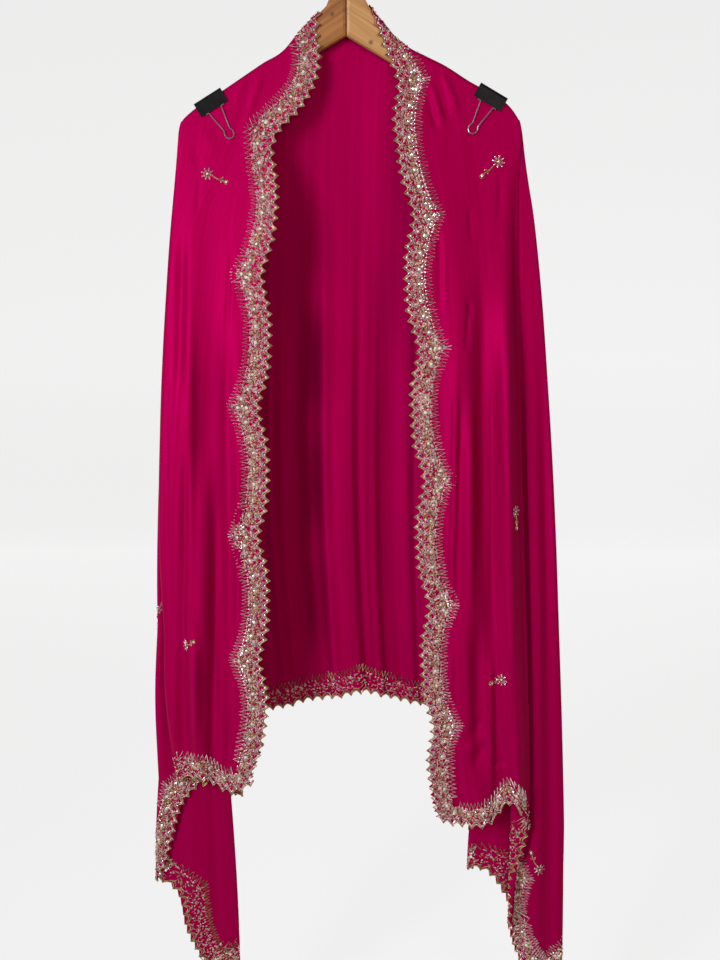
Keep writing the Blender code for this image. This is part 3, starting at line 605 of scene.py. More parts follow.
def front_flat(side, s, t):
    """The front opened out flat: X, and Z with what lies behind the arm turned up."""
    points = front_surface(side, s, t)
    top = front_surface(side, s, 0.0)[..., 2]
    z = np.where(np.asarray(t) < 0, 2 * top - points[..., 2], points[..., 2])
    return np.stack([points[..., 0], z], axis=-1)


def front_place(side, target, s, t):
    """Newton's steps from (s, t) to the place whose flat point is the target."""
    h = 1e-4
    for _ in range(NEWTON_STEPS):
        here = front_flat(side, s, t)
        ds = (front_flat(side, s + h, t) - here) / h
        dt = (front_flat(side, s, t + h) - here) / h
        miss = target - here
        area = ds[..., 0] * dt[..., 1] - ds[..., 1] * dt[..., 0]
        s = s + (miss[..., 0] * dt[..., 1] - miss[..., 1] * dt[..., 0]) / area
        t = t + (ds[..., 0] * miss[..., 1] - ds[..., 1] * miss[..., 0]) / area
        s, t = np.clip(s, -0.2, 1.0), np.clip(t, -0.05, 1.05)
    return s, t


BORDER_CACHE = {}


def front_border(side):
    """Places (s, t) of the long border on a table of metres along and metres in.

    The way in is square to the cut edge, and turns to follow the hem near the corner.
    """
    if side in BORDER_CACHE:
        return BORDER_CACHE[side]
    height = float(front_size(side, 0.0, 0.5)[1])
    behind = np.linspace(-OVER_ARM / height, 0, 6)[:-1]
    t = np.concatenate([behind, np.linspace(0.0, 1.0, TABLE_ROWS)])
    edge = front_flat(side, 0.0 * t, t)
    along = running(np.hypot(*np.diff(edge, axis=0).T))
    along = along - np.interp(0.0, t, along)
    way = smoothed(np.gradient(edge, along, axis=0), 12)
    inward = np.stack([-way[:, 1], way[:, 0]], axis=-1) * SIGN[side]
    hem = front_flat(side, 0.25, 1.0) - front_flat(side, 0.0, 1.0)
    turn = smooth_step((along - along[-1] + CORNER_START) / CORNER_LENGTH)[:, None]
    inward = unit((1 - turn) * inward + turn * hem / np.hypot(*hem))
    deep = np.linspace(0.0, TABLE_REACH, TABLE_COLUMNS)
    target = edge[:, None, :] + deep[None, :, None] * inward[:, None, :]
    width = front_size(side, 0.0, np.abs(t))[0][:, None]
    s, t2 = front_place(side, target, deep[None, :] / width, t[:, None] + 0 * deep[None, :])
    BORDER_CACHE[side] = (along, deep, side_by_side(s, t2))
    return BORDER_CACHE[side]


def front_band(side):
    """Band map of the long border: metres along from the arm, metres in from the crests.

    Close to the arm the cut edge is drawn out to the line of the crests, so that the
    narrow tip there is not cut away.
    """
    along, deep, places = front_border(side)

    def place(a, b):
        a, b = np.broadcast_arrays(a, b)
        near = 1 - smooth_step((a - TIP_START) / TIP_LENGTH)
        near = near * np.clip(1 - b / BORDER_STRIP, 0, 1)
        b = b - cut_back(a, NOTCH_START[side]) * near
        row = np.clip(np.searchsorted(along, a) - 1, 0, len(along) - 2)
        f = ((a - along[row]) / (along[row + 1] - along[row]))[..., None]
        step = deep[1]
        column = np.clip((b / step).astype(int), 0, len(deep) - 2)
        g = (b / step - column)[..., None]
        found = (1 - f) * ((1 - g) * places[row, column] + g * places[row, column + 1])
        return found + f * ((1 - g) * places[row + 1, column] + g * places[row + 1, column + 1])

    def band(a, b):
        found = place(a, b)
        return front_cloth(side, found[..., 0], found[..., 1])

    band.place = place
    return band, float(along[-1])


def hem_band(side):
    """Band map of the front's short border: metres out from the corner, metres up."""
    width = float(front_size(side, 0.0, 1.0)[0])

    def band(a, b):
        s = np.asarray(a, float) / width
        return front_cloth(side, s, 1 - b / drop(partial(front_surface, side), s))

    return band, width


def side_band(side):
    """Band map of the border round the falls: metres along the hem, metres in from it.

    The hem is drawn out flat, level distance against height, and the way in is
    square to it there; the level distance then gives the place round the folds.
    """
    places = np.linspace(0.0, 1.0, HEM_PLACES)
    hem = side_surface(side, places, 1.0)
    steps = np.diff(hem, axis=0)
    level = running(np.hypot(steps[:, 0], steps[:, 1]))
    along = running(np.linalg.norm(steps, axis=1))
    way = unit(smoothed(np.gradient(np.stack([level, hem[:, 2]], -1), along, axis=0), 60))
    tip_z = RIDGE[side]["z"][-1]

    def place(a, b):
        across = np.interp(a, along, level) - b * np.interp(a, along, way[:, 1])
        z = np.interp(a, along, hem[:, 2]) + b * np.interp(a, along, way[:, 0])
        q = np.interp(across, level, places)
        return q, (tip_z - z) / side_length(side, q)

    def band(a, b):
        return side_surface(side, *place(*np.broadcast_arrays(a, b)))

    band.place = place
    band.straight = lambda a: np.interp(a, along, places)
    return band, float(along[-1])


def back_band():
    """Band map of the back's hem border: metres from its left end, metres up."""
    width = RIDGE["left"]["reach"][-1] + RIDGE["right"]["reach"][-1]

    def band(a, b):
        s = np.asarray(a, float) / width
        return back_surface(s, 1 - b / drop(back_surface, s))

    return band, width


def neck_band():
    """Band map of the border behind the hook: metres from its left end, metres down."""
    width = RIDGE["left"]["reach"][1] + RIDGE["right"]["reach"][1]

    def band(a, b):
        return neck_surface(np.asarray(a, float) / width, b / NECK_STRIP)

    return band, width


def strip(band, length, start, turned, first=0.0, depth=BORDER_STRIP, last_cut=None):
    """The cloth under a border: a fine grid from its cut edge to its inner side.

    first is where it begins, a number or a function of the metres in; last_cut
    gives the cut at the far end, where the border turns a corner.
    """
    begin = first(0.0) if callable(first) else first
    f = np.linspace(0.0, 1.0, int((length - begin) / STRIP_STEP))[:, None]
    a = begin + (length - begin) * f
    cut = cut_back(a, start)
    b = cut + (depth - cut) * np.linspace(0.0, 1.0, STRIP_ROWS)[None, :]
    if callable(first):
        a = first(b) + (length - first(b)) * f
    if last_cut is not None:
        a = a - cut_back(b, last_cut) * smooth_step((f - 0.93) / 0.07)
    return band(a, b), side_by_side(b + 0 * a, a + 0 * b), turned


def fall_strip(q):
    """Height of the strip under the falls' border: less at its ends, to meet the others."""
    deeper = smooth_step(np.minimum(q, 1 - q) / 0.02)
    return BORDER_STRIP + (SIDE_STRIP - BORDER_STRIP) * deeper


def side_strip(side, band, length, start):
    """The cloth under the falls' border, from its cut edge straight up to the falls."""
    a = np.linspace(0.0, length, int(length / FALL_STRIP_STEP))[:, None]
    q, t = band.place(a, cut_back(a, start))
    top = band.straight(a)
    top_t = 1 - fall_strip(top) / side_length(side, top)
    f = np.linspace(0.0, 1.0, FALL_STRIP_ROWS)[None, :]
    q, t = q + (top - q) * f, t + (top_t - t) * f
    cloth = side_by_side(t * side_length(side, q), a + 0 * f)
    return side_surface(side, q, t), cloth, side == "left"


def inner_edge(side):
    """The places (s, t) down the front where the cloth under its long border ends."""
    _, deep, places = front_border(side)
    column = int(np.searchsorted(deep, BORDER_STRIP))
    f = (BORDER_STRIP - deep[column - 1]) / (deep[column] - deep[column - 1])
    return (1 - f) * places[:, column - 1] + f * places[:, column]


def corner_start(side, width):
    """Metres along the hem where its border begins, as a function of metres up."""
    edge = inner_edge(side)
    height = drop(partial(front_surface, side), 0.1)
    return lambda up: width * np.interp(1 - up / height, edge[:, 1], edge[:, 0])


def front_main(side):
    """The front inside its two borders."""
    edge = inner_edge(side)
    across = np.linspace(0.0, 1.0, FRONT_COLUMNS)[None, :]
    t = np.concatenate([behind_rows(), shared_rows()])[:, None]
    last = 1 - BORDER_STRIP / drop(partial(front_surface, side), across)
    t = np.where(t > 0, t * last, t)
    first = np.interp(t, edge[:, 1], edge[:, 0])
    s = first + (1 - first) * across
    width, height = front_size(side, 0.0, np.abs(t))
    return front_cloth(side, s, t), side_by_side(s * width, t * height), side == "left"


def side_main(side):
    """The falls above their border."""
    q = np.linspace(0.0, 1.0, SIDE_FOLDS * FOLD_COLUMNS + 1)[None, :]
    length = side_length(side, q)
    t = shared_rows()[:, None] * (1 - fall_strip(q) / length)
    cloth = side_by_side(q * 0.7 + 0 * t, t * length)
    return side_surface(side, q, t), cloth, side == "left"


def back_main():
    """The back above its hem border, and below the neck border in the middle."""
    s = np.linspace(0.0, 1.0, BACK_COLUMNS)[None, :]
    height = drop(back_surface, s)
    ridge = back_surface(s, 0.0)
    left, right = -RIDGE["left"]["reach"][1], RIDGE["right"]["reach"][1]
    place = (ridge[..., 0] - left) / (right - left)
    inside = (place > 0) & (place < 1)
    seam = ridge[..., 2] - neck_surface(np.clip(place, 0, 1), 1.0)[..., 2]
    first = np.where(inside, seam / height, 0.0)
    t = first + (1 - BORDER_STRIP / height - first) * shared_rows()[:, None]
    cloth = side_by_side(s * 0.45 + 0 * t, t * height)
    return back_surface(s, t), cloth, True


def sheet_piece(name, patches, nodes):
    """A sheet of cloth, given its thickness, in place of CAD nodes, which it hides."""
    obj = new_object(name, cloth_mesh(name, patches), [CREPE])
    wall = obj.modifiers.new("cloth thickness", "SOLIDIFY")
    wall.thickness = CLOTH_THICKNESS
    wall.offset = 0.0
    obj.modifiers.new("even shading over the rims", "WEIGHTED_NORMAL")
    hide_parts(*nodes)


# ---- embroidery ----------------------------------------------------------
# Bead work is laid on a band map: a is metres along the cut edge and b metres in
# from the line through the scallops' crests. Each bead goes from one point to
# another, so a row of them is a thread, a petal or a ray.
LOOP_LENGTH = 0.0095
LOOP_PITCH = 0.0047
FLOWER_PITCH = 0.0210
INNER_VALLEY = 0.0400
INNER_PEAK = 0.0215
FILL_PER_METRE = 4200
FILL_LENGTH = 0.0036
FIRST_SEED = 20
# How far the thread stands off the middle of the cloth.
THREAD_RISE = 0.00035
# Even angles round a circle, for petals and sequins.
EIGHT = np.radians(np.arange(0, 360, 45))
SIX = np.radians(np.arange(0, 360, 60))


def inner_line(a, start):
    """The cloth side of the border: a cusp opposite each notch, hollow between."""
    phase = (a - start) / SCALLOP_PITCH
    near = 1.0 - 2.0 * np.abs(phase - np.floor(phase + 0.5))
    return INNER_VALLEY + INNER_PEAK * np.clip(near, 0.0, 1.0) ** 2.2


def crest_cut(a, start):
    """How far in the notches alone cut the free edge."""
    return NOTCH_DEPTH * notch(a, start)


def rays(a, b, angles, near, far):
    """Beads that fan out from each (a, b), at angles from straight in, radii near to far."""
    angles = np.asarray(angles)[None, :]
    way = side_by_side(np.sin(angles), np.cos(angles))
    centre = side_by_side(a, b)[:, None, :]
    first = (centre + way * near).reshape(-1, 2)
    return np.concatenate([first, (centre + way * far).reshape(-1, 2)], axis=1)


def border_pattern(length, start, seed):
    """All the cords, beads and sequins of a stretch of border.

    Cords are ((a, b) points, half width, colour), beads (a0, b0, a1, b1, half width,
    colour) and sequins (a, b, radius, colour). From the cut edge inwards: picots,
    their inner arches, fans of bugle beads, flowers round a sequin with small beads
    between, a row of sequins and the long pointed loops. Colours: 0 gold thread,
    1 silver pink, 2 bright.
    """
    rng = np.random.default_rng(seed)
    cords, beads, discs = [], [], []

    def put(rows, width, colour):
        size = width * rng.uniform(0.85, 1.15, len(rows))
        beads.append(np.column_stack([rows, size, np.broadcast_to(colour, len(rows))]))

    def dot(a, b, radius, colour):
        size = radius * rng.uniform(0.85, 1.15, len(a))
        discs.append(np.column_stack([a, b, size, np.full(len(a), colour)]))

    tips = np.arange(0, int(length / PICOT_PITCH) + 1) * PICOT_PITCH
    valleys = tips[:-1] + PICOT_PITCH / 2
    steps = np.arange(0, 10 * (len(tips) - 1) + 1) * PICOT_PITCH / 10
    high = crest_cut(steps, start) + PICOT_MARGIN
    outer = high + PICOT_HEIGHT * picot(steps)
    cords.append((side_by_side(steps, outer), 0.00090, 0))
    arch = high + 0.0032 + PICOT_HEIGHT * picot(steps)
    cords.append((side_by_side(steps, arch), 0.00080, 1))
    cut = crest_cut(tips, start)
    dot(tips, cut + PICOT_MARGIN + 0.0046, 0.0011, 2)
    low = crest_cut(valleys, start) + PICOT_MARGIN + PICOT_HEIGHT
    five, three = np.radians([-62, -32, 0, 32, 62]), np.radians([-38, 0, 38])
    put(rays(valleys, low + 0.0005, five, 0.0016, 0.0072), 0.00080, 1)
    put(rays(tips, cut + PICOT_MARGIN + 0.0105, three, 0.0010, 0.0064), 0.00075, 0)
    dot(valleys, low + 0.0005, 0.0010, 2)

    def middle(a):
        return 0.5 * (crest_cut(a, start) + 0.0150 + inner_line(a, start) - 0.0090)

    flowers = np.arange(0.5, length / FLOWER_PITCH) * FLOWER_PITCH
    flowers = flowers + rng.uniform(-0.001, 0.001, len(flowers))
    put(rays(flowers, middle(flowers), EIGHT, 0.0016, 0.0066), 0.00095, 0)
    put(rays(flowers, middle(flowers), EIGHT + 0.39, 0.0022, 0.0052), 0.00060, 1)
    dot(flowers, middle(flowers), 0.0021, 2)
    between = flowers[:-1] + FLOWER_PITCH / 2
    put(rays(between, middle(between), SIX, 0.0010, 0.0045), 0.00080, 0)
    dot(between, middle(between), 0.0013, 0)

    peaks = start + SCALLOP_PITCH * np.arange(-1, length / SCALLOP_PITCH + 1)
    for shift, back in ((0.0, 0.0165), (-0.0115, 0.0150), (0.0115, 0.0150), (0.0, 0.0280)):
        at = peaks + shift
        at = at[(at > 0) & (at < length)]
        deep = inner_line(at, start) - back
        put(rays(at, deep, EIGHT, 0.0014, 0.0058), 0.00075, 1 if back < 0.016 else 0)
        dot(at, deep, 0.0019, 2)

    fill = rng.uniform(0, length, int(length * FILL_PER_METRE))
    low = crest_cut(fill, start) + 0.0125
    high = inner_line(fill, start) - LOOP_LENGTH - 0.0005
    deep = low + (high - low) * rng.uniform(0, 1, len(fill))
    turn = rng.uniform(0, math.pi, len(fill))
    reach = FILL_LENGTH * np.stack([np.cos(turn), np.sin(turn)])
    put(np.column_stack([fill, deep, fill + reach[0], deep + reach[1]]), 0.00095,
        np.array([0, 1, 3])[np.searchsorted([0.35, 0.60], rng.uniform(0, 1, len(fill)))])

    fine = np.linspace(0, length, 4000)
    line = side_by_side(fine, inner_line(fine, start))
    along = running(np.linalg.norm(np.diff(line, axis=0), axis=1))
    at = np.arange(0, along[-1], LOOP_PITCH / 2)
    tip = side_by_side(*(np.interp(at, along, column) for column in line.T))
    way = np.gradient(tip, axis=0)
    outward = 0.75 * unit(np.stack([-way[:, 1], way[:, 0]], axis=-1)) + np.array([0.0, 0.25])
    root = tip - LOOP_LENGTH * outward
    odd = np.arange(len(at)) % 2 == 1
    uneven = outward * rng.uniform(-0.0014, 0.0014, (len(at), 1))
    path = np.where(odd[:, None], tip + uneven, root)
    cords.append((path, 0.00085, 3))
    dot(*root[::2].T, 0.0010, 1)
    dot(*(tip - 0.0135 * outward)[::3].T, 0.0013, 1)
    return cords, np.concatenate(beads), np.concatenate(discs)


def lifted(band, a, b, height, face):
    """Points of the band map `height` metres off the cloth, and the way off it."""
    step = 0.0008
    along = band(a + step, b) - band(a - step, b)
    inward = band(a, b + step) - band(a, b - step)
    out = unit(np.cross(along, inward) * face)
    return band(a, b) + out * height, out, along


def bead_shapes(first, second, out, width):
    """Long eight-sided beads from first to second: two tips and four middle corners."""
    across = unit(np.cross(second - first, out))
    middle, across, up = 0.5 * (first + second), across * width[:, None], out * width[:, None]
    corners = np.stack([first, second, middle + across, middle + up, middle - across,
                        middle - up], axis=1)
    faces = np.array([[0, 2, 3], [0, 3, 4], [0, 4, 5], [0, 5, 2],
                      [1, 3, 2], [1, 4, 3], [1, 5, 4], [1, 2, 5]])
    return corners, faces


def cord_shape(points, out, width):
    """A four-sided cord along points: a ring of corners at each, joined to the next."""
    across = width * unit(np.cross(np.gradient(points, axis=0), out))
    up = out * width
    rings = np.stack([points + across, points + up, points - across, points - up], axis=1)
    corner = np.arange(4)
    first = 4 * np.arange(len(points) - 1)[:, None]
    low, high = first + corner, first + (corner + 1) % 4
    faces = np.stack([side_by_side(low, low + 4, high + 4),
                      side_by_side(low, high + 4, high)])
    return rings.reshape(1, -1, 3), faces.reshape(-1, 3)


def disc_shapes(centre, out, along, radius):
    """Cupped six-sided sequins: a ring, a raised top point and an under point."""
    along = unit(along)
    across = np.cross(out, along)
    ring = centre[:, None, :] + radius[:, None, None] * (
        along[:, None, :] * np.cos(SIX)[None, :, None]
        + across[:, None, :] * np.sin(SIX)[None, :, None]
    )
    top = centre + out * radius[:, None] * 0.45
    under = centre - out * radius[:, None] * 0.15
    corners = np.concatenate([ring, top[:, None], under[:, None]], axis=1)
    k = np.arange(6)
    faces = np.concatenate([side_by_side(k, (k + 1) % 6, 0 * k + 6),
                            side_by_side((k + 1) % 6, k, 0 * k + 7)])
    return corners, faces


def worked_mesh(name, parts):
    """Joins parts (corners, faces, colour of each shape) into one mesh."""
    points, triangles, colours, first = [], [], [], 0
    for corners, faces, colour in parts:
        count, each = corners.shape[:2]
        base = first + each * np.arange(count)[:, None, None]
        triangles.append((base + faces[None]).reshape(-1, 3))
        colours.append(np.repeat(colour.astype(int), len(faces)))
        points.append(corners.reshape(-1, 3))
        first += count * each
    mesh = bpy.data.meshes.new(name)
    mesh.from_pydata(np.concatenate(points), [], np.concatenate(triangles))
    mesh.polygons.foreach_set("material_index", np.concatenate(colours).astype(np.int32))
    mesh.update()
    return mesh


def laid_parts(band, pattern, face, test):
    """The shapes of a pattern laid on the band, of whatever in it passes the test."""
    cords, beads, discs = pattern
    beads, discs = beads[test(beads)], discs[test(discs)]
    bead_rise, disc_rise = THREAD_RISE + 0.0005, THREAD_RISE + 0.0013
    first, out, _ = lifted(band, beads[:, 0], beads[:, 1], bead_rise, face)
    second, _, _ = lifted(band, beads[:, 2], beads[:, 3], bead_rise, face)
    centre, disc_out, along = lifted(band, discs[:, 0], discs[:, 1], disc_rise, face)
    parts = [
        (*bead_shapes(first, second, out, beads[:, 4]), beads[:, 5]),
        (*disc_shapes(centre, disc_out, along, discs[:, 2]), discs[:, 3]),
    ]
    for path, width, colour in cords:
        inside = test(path)
        runs = np.split(np.arange(len(path)), np.flatnonzero(np.diff(inside)) + 1)
        for run in runs:
            if len(run) < 2 or not inside[run[0]]:
                continue
            points, out, _ = lifted(band, *path[run].T, THREAD_RISE + 0.0006, face)
            parts.append((*cord_shape(points, out, width), np.array([colour])))
    return parts


def reverse_of(pattern):
    """The thread that shows on the cloth's reverse: the same cords, every third stitch."""
    cords, beads, discs = pattern
    return [(path, 0.8 * width, 0) for path, width, _ in cords], beads[::3], discs[:0]


# ---- scattered motifs ------------------------------------------------------
MOTIF_LENGTH = 0.0270


def motif_pattern(length):
    """A flower, its curved stem and leaves and the bud at `length` metres from it.

    Metres along the motif from the flower's middle, and across it.
    """
    away = side_by_side(np.cos(EIGHT), np.sin(EIGHT))
    aside = side_by_side(-np.sin(EIGHT), np.cos(EIGHT)) * 0.0009
    petals = [np.concatenate([0.0016 * away, 0.0058 * away], axis=1)]
    petals += [np.concatenate([0.0030 * away, 0.0066 * away + w * aside], axis=1)
               for w in (-1, 1)]
    leaf = length - 0.0105
    leaves = np.array([[leaf, 0.0, leaf + 0.0030, 0.0034], [leaf, 0.0, leaf + 0.0034, -0.0030]])
    corners = np.array([[length - 0.0036, 0.0], [length, 0.0032], [length + 0.0036, 0.0],
                        [length, -0.0032]])
    bud = np.concatenate([corners, np.roll(corners, -1, axis=0)], axis=1)
    beads = np.concatenate(petals + [leaves, bud])
    beads = np.column_stack([beads, np.full(len(beads), 0.00085), np.zeros(len(beads))])
    beads[8:24, 5] = 1
    f = np.linspace(0.0, 1.0, 9)
    stem = side_by_side(0.0064 + (length - 0.0100) * f, 0.0016 * np.sin(math.pi * f))
    discs = np.concatenate([
        np.column_stack([0.0074 * away, np.full(8, 0.00105), np.full(8, 1)]),
        [[0.0, 0.0, 0.0017, 2], [length, 0.0, 0.0016, 2]],
        np.column_stack([leaves[:, 2:], np.full(2, 0.0010), np.full(2, 0)]),
    ])
    return [(stem, 0.00075, 0)], beads, discs


def patch(surface, p, q, turn):
    """Band map of a small patch round (p, q): metres from it at `turn` and across that.

    turn is 0 along the level way in which p grows, and pi/2 is upwards. The patch
    is taken as flat: its places follow from the surface's slopes at (p, q).
    """
    h = 1e-4
    slopes = side_by_side((surface(p + h, q) - surface(p - h, q)) / (2 * h),
                       (surface(p, q + h) - surface(p, q - h)) / (2 * h))
    level = unit(np.array([slopes[0, 0], slopes[1, 0], 0.0]))
    up = np.array([0.0, 0.0, 1.0])
    steps = np.linalg.pinv(slopes)
    first = steps @ (level * math.cos(turn) + up * math.sin(turn))
    second = steps @ (up * math.cos(turn) - level * math.sin(turn))

    def band(a, b):
        a, b = np.broadcast_arrays(a, b)
        return surface(p + a * first[0] + b * second[0], q + a * first[1] + b * second[1])

    return band


def motif(surface, p, q, turn, face, length=MOTIF_LENGTH):
    """The shapes of one motif with its flower at (p, q)."""
    band = patch(surface, p, q, turn)
    return laid_parts(band, motif_pattern(length), face, lambda rows: rows[:, 0] > -1.0)


def front_motif(side, flower, bud):
    """A motif on a front, from its flower (x, z) to its bud (x, z)."""
    down = np.array([-(flower[1] + 0.2)])
    s, t = front_place(side, np.array([flower]), np.array([0.6]), down)
    way = np.array(bud) - np.array(flower)
    turn = math.atan2(way[1], way[0] * SIGN[side])
    return motif(partial(front_cloth, side), float(s[0]), float(t[0]), turn,
                 SIGN[side], math.hypot(*way))


# ---- finishes ------------------------------------------------------------
def add_node(tree, kind, values=(), **settings):
    """Adds a node, sets its options by name and its sockets from (socket, value) pairs.

    A value that is itself an output socket is linked instead.
    """
    node = tree.nodes.new(kind)
    for key, value in settings.items():
        setattr(node, key, value)
    for key, value in values:
        if isinstance(value, bpy.types.NodeSocket):
            tree.links.new(value, node.inputs[key])
        else:
            node.inputs[key].default_value = value
    return node


def new_finish(name, roughness, **sockets):
    """A material with its Principled shader's own sockets set."""
    material = bpy.data.materials.new(name)
    material.use_nodes = True
    shader = material.node_tree.nodes["Principled BSDF"]
    shader.inputs["Roughness"].default_value = roughness
    for key, value in sockets.items():
        shader.inputs[key.replace("_", " ")].default_value = value
    return material, material.node_tree, shader


def two_tone(tree, pattern, span, low, high):
    """A colour that goes from low to high as the pattern's value goes over the span."""
    share = add_node(tree, "ShaderNodeMapRange", [
        ("Value", pattern), ("From Min", span[0]), ("From Max", span[1])])
    mixed = add_node(tree, "ShaderNodeMix", [
        (0, share.outputs[0]), (6, linear(low)), (7, linear(high))], data_type="RGBA")
    return mixed.outputs[2]


def crepe_satin():
    """Rani pink crepe satin: a close grain, faint lengthwise streaks, a dull glow."""
    material, tree, shader = new_finish(
        "crepe_satin_woven_dyed", 0.58, Metallic=0.35, Specular_IOR_Level=0.06,
        Specular_Tint=linear("#E0208A"),
    )
    cloth = add_node(tree, "ShaderNodeUVMap", uv_map="cloth").outputs["UV"]
    long_way = add_node(tree, "ShaderNodeMapping",
                        [("Vector", cloth), ("Scale", (150.0, 3.0, 1.0))])
    streaks = add_node(tree, "ShaderNodeTexNoise",
                       [("Vector", long_way.outputs[0]), ("Scale", 1.0), ("Detail", 3.0)])
    colour = two_tone(tree, streaks.outputs["Fac"], (0.30, 0.72), "#A40042", "#AF004E")
    tree.links.new(colour, shader.inputs["Base Color"])
    grain = add_node(tree, "ShaderNodeTexNoise",
                     [("Vector", cloth), ("Scale", 1100.0), ("Detail", 2.0)])
    bump = add_node(tree, "ShaderNodeBump", [("Height", grain.outputs["Fac"]),
                                             ("Strength", 0.18), ("Distance", 0.0002)])
    streak_bump = add_node(tree, "ShaderNodeBump", [
        ("Height", streaks.outputs["Fac"]), ("Strength", 0.14), ("Distance", 0.0005),
        ("Normal", bump.outputs["Normal"])])
    tree.links.new(streak_bump.outputs["Normal"], shader.inputs["Normal"])
    return material


def mottled_finish(name, low, high, roughness, metallic, scale, detail, shine=0.5):
    """A finish whose colour wanders between two, over patches about 1 / scale metres wide."""
    material, tree, shader = new_finish(
        name, roughness, Metallic=metallic, Specular_IOR_Level=shine)
    place = add_node(tree, "ShaderNodeTexCoord").outputs["Object"]
    cloud = add_node(tree, "ShaderNodeTexNoise",
                     [("Vector", place), ("Scale", scale), ("Detail", detail)])
    colour = two_tone(tree, cloud.outputs["Fac"], (0.35, 0.65), low, high)
    tree.links.new(colour, shader.inputs["Base Color"])
    return material


def waxed_wood(name, dark, pale, slope, knot):
    """Honey-coloured wood: grain along the arm, wandering a little, round one small knot."""
    material, tree, shader = new_finish(name, 0.42, Specular_IOR_Level=0.45)
    place = add_node(tree, "ShaderNodeTexCoord").outputs["Object"]
    along = add_node(tree, "ShaderNodeMapping",
                     [("Vector", place), ("Rotation", (0.0, slope, 0.0)),
                      ("Scale", (0.45, 0.022, 0.022))], vector_type="TEXTURE")
    grain = add_node(tree, "ShaderNodeTexNoise", [
        ("Vector", along.outputs[0]), ("Scale", 3.0), ("Detail", 5.0), ("Distortion", 0.9)])
    colour = two_tone(tree, grain.outputs["Fac"], (0.34, 0.68), dark, pale)
    away = add_node(tree, "ShaderNodeVectorMath", [(0, place), (1, knot)], operation="DISTANCE")
    ring = add_node(tree, "ShaderNodeMapRange", [
        ("Value", away.outputs["Value"]), ("From Min", 0.0012), ("From Max", 0.0042),
        ("To Min", 0.75), ("To Max", 0.0)])
    browned = add_node(tree, "ShaderNodeMix", [
        (0, ring.outputs[0]), (6, colour), (7, linear("#5E3312"))], data_type="RGBA")
    tree.links.new(browned.outputs[2], shader.inputs["Base Color"])
    bump = add_node(tree, "ShaderNodeBump", [("Height", grain.outputs["Fac"]),
                                             ("Strength", 0.12), ("Distance", 0.0003)])
    tree.links.new(bump.outputs["Normal"], shader.inputs["Normal"])
    return material


CREPE = crepe_satin()
# Colours wander over 4 mm or so in beads and thread, and over 11 mm in metal.
BEAD_SCALE, METAL_SCALE = 260.0, 90.0
BEADS = [
    # Couched metal thread: dull antique gold, brown where it turns away.
    mottled_finish("zari_thread_couched", "#94754F", "#D9C08C", 0.38, 0.45, BEAD_SCALE, 1.0),
    # Lined glass tubes: pinkish silver with short bright glints.
    mottled_finish("silver_lined_bugle_beads", "#B98C92", "#F0D6D4", 0.24, 0.5, BEAD_SCALE, 1.0),
    # Cut sequins: near white, and they flash.
    mottled_finish("cut_crystal_sequins", "#E6DCCB", "#FFFDF6", 0.12, 0.2, BEAD_SCALE, 1.0),
    # Twisted cord: pale rose gold, softly lit.
    mottled_finish("pale_gold_twisted_cord", "#C79AA2", "#F3E0D8", 0.34, 0.2, BEAD_SCALE, 1.0),
]


# Motifs on the fronts: flower (x, z) and bud (x, z).
FRONT_MOTIFS = {
    "left": [((-0.1836, -0.3298), (-0.1552, -0.3392)),
             ((-0.2200, -0.9621), (-0.1962, -0.9535))],
    "right": [((0.2011, -0.3134), (0.1780, -0.3298)), ((0.2142, -1.0123), (0.1970, -1.0123)),
              ((0.2270, -0.7760), (0.2300, -0.7990))],
}
# Motifs on the falls: place across and down, and the way they point.
SIDE_MOTIFS = {
    "left": [(0.27, 0.30, -1.5), (0.24, 0.62, -1.4), (0.52, 0.45, -1.6), (0.50, 0.78, -1.5),
             (0.77, 0.28, -1.6), (0.75, 0.66, -1.6)],
    "right": [(0.2004, 0.817, 2.09), (0.50, 0.55, -1.5),
              (0.52, 0.24, -1.6), (0.76, 0.42, -1.6), (0.74, 0.74, -1.5)],
}
BACK_MOTIFS = [(0.12 + 0.19 * column + 0.095 * (row % 2), 0.20 + 0.215 * row)
               for row in range(4) for column in range(5 - row % 2)]


def worked_piece(name, bands, motifs):
    """Makes one mesh of motifs and of bands' bead work.

    A band is (band, length, start, face, test, both). Where both is true the
    cloth's reverse shows, so its thread is there too.
    """
    parts = list(motifs)
    for number, (band, length, start, face, test, both) in enumerate(bands):
        pattern = border_pattern(length, start, FIRST_SEED + number)
        parts += laid_parts(band, pattern, face, test)
        if both:
            parts += laid_parts(band, reverse_of(pattern), -face, test)
    return new_object(name, worked_mesh(name, parts), BEADS)


def between_ends(length):
    """A test for what lies between the ends of a band of that length."""
    return lambda rows: (rows[:, 0] > 0.001) & (rows[:, 0] < length - 0.001)


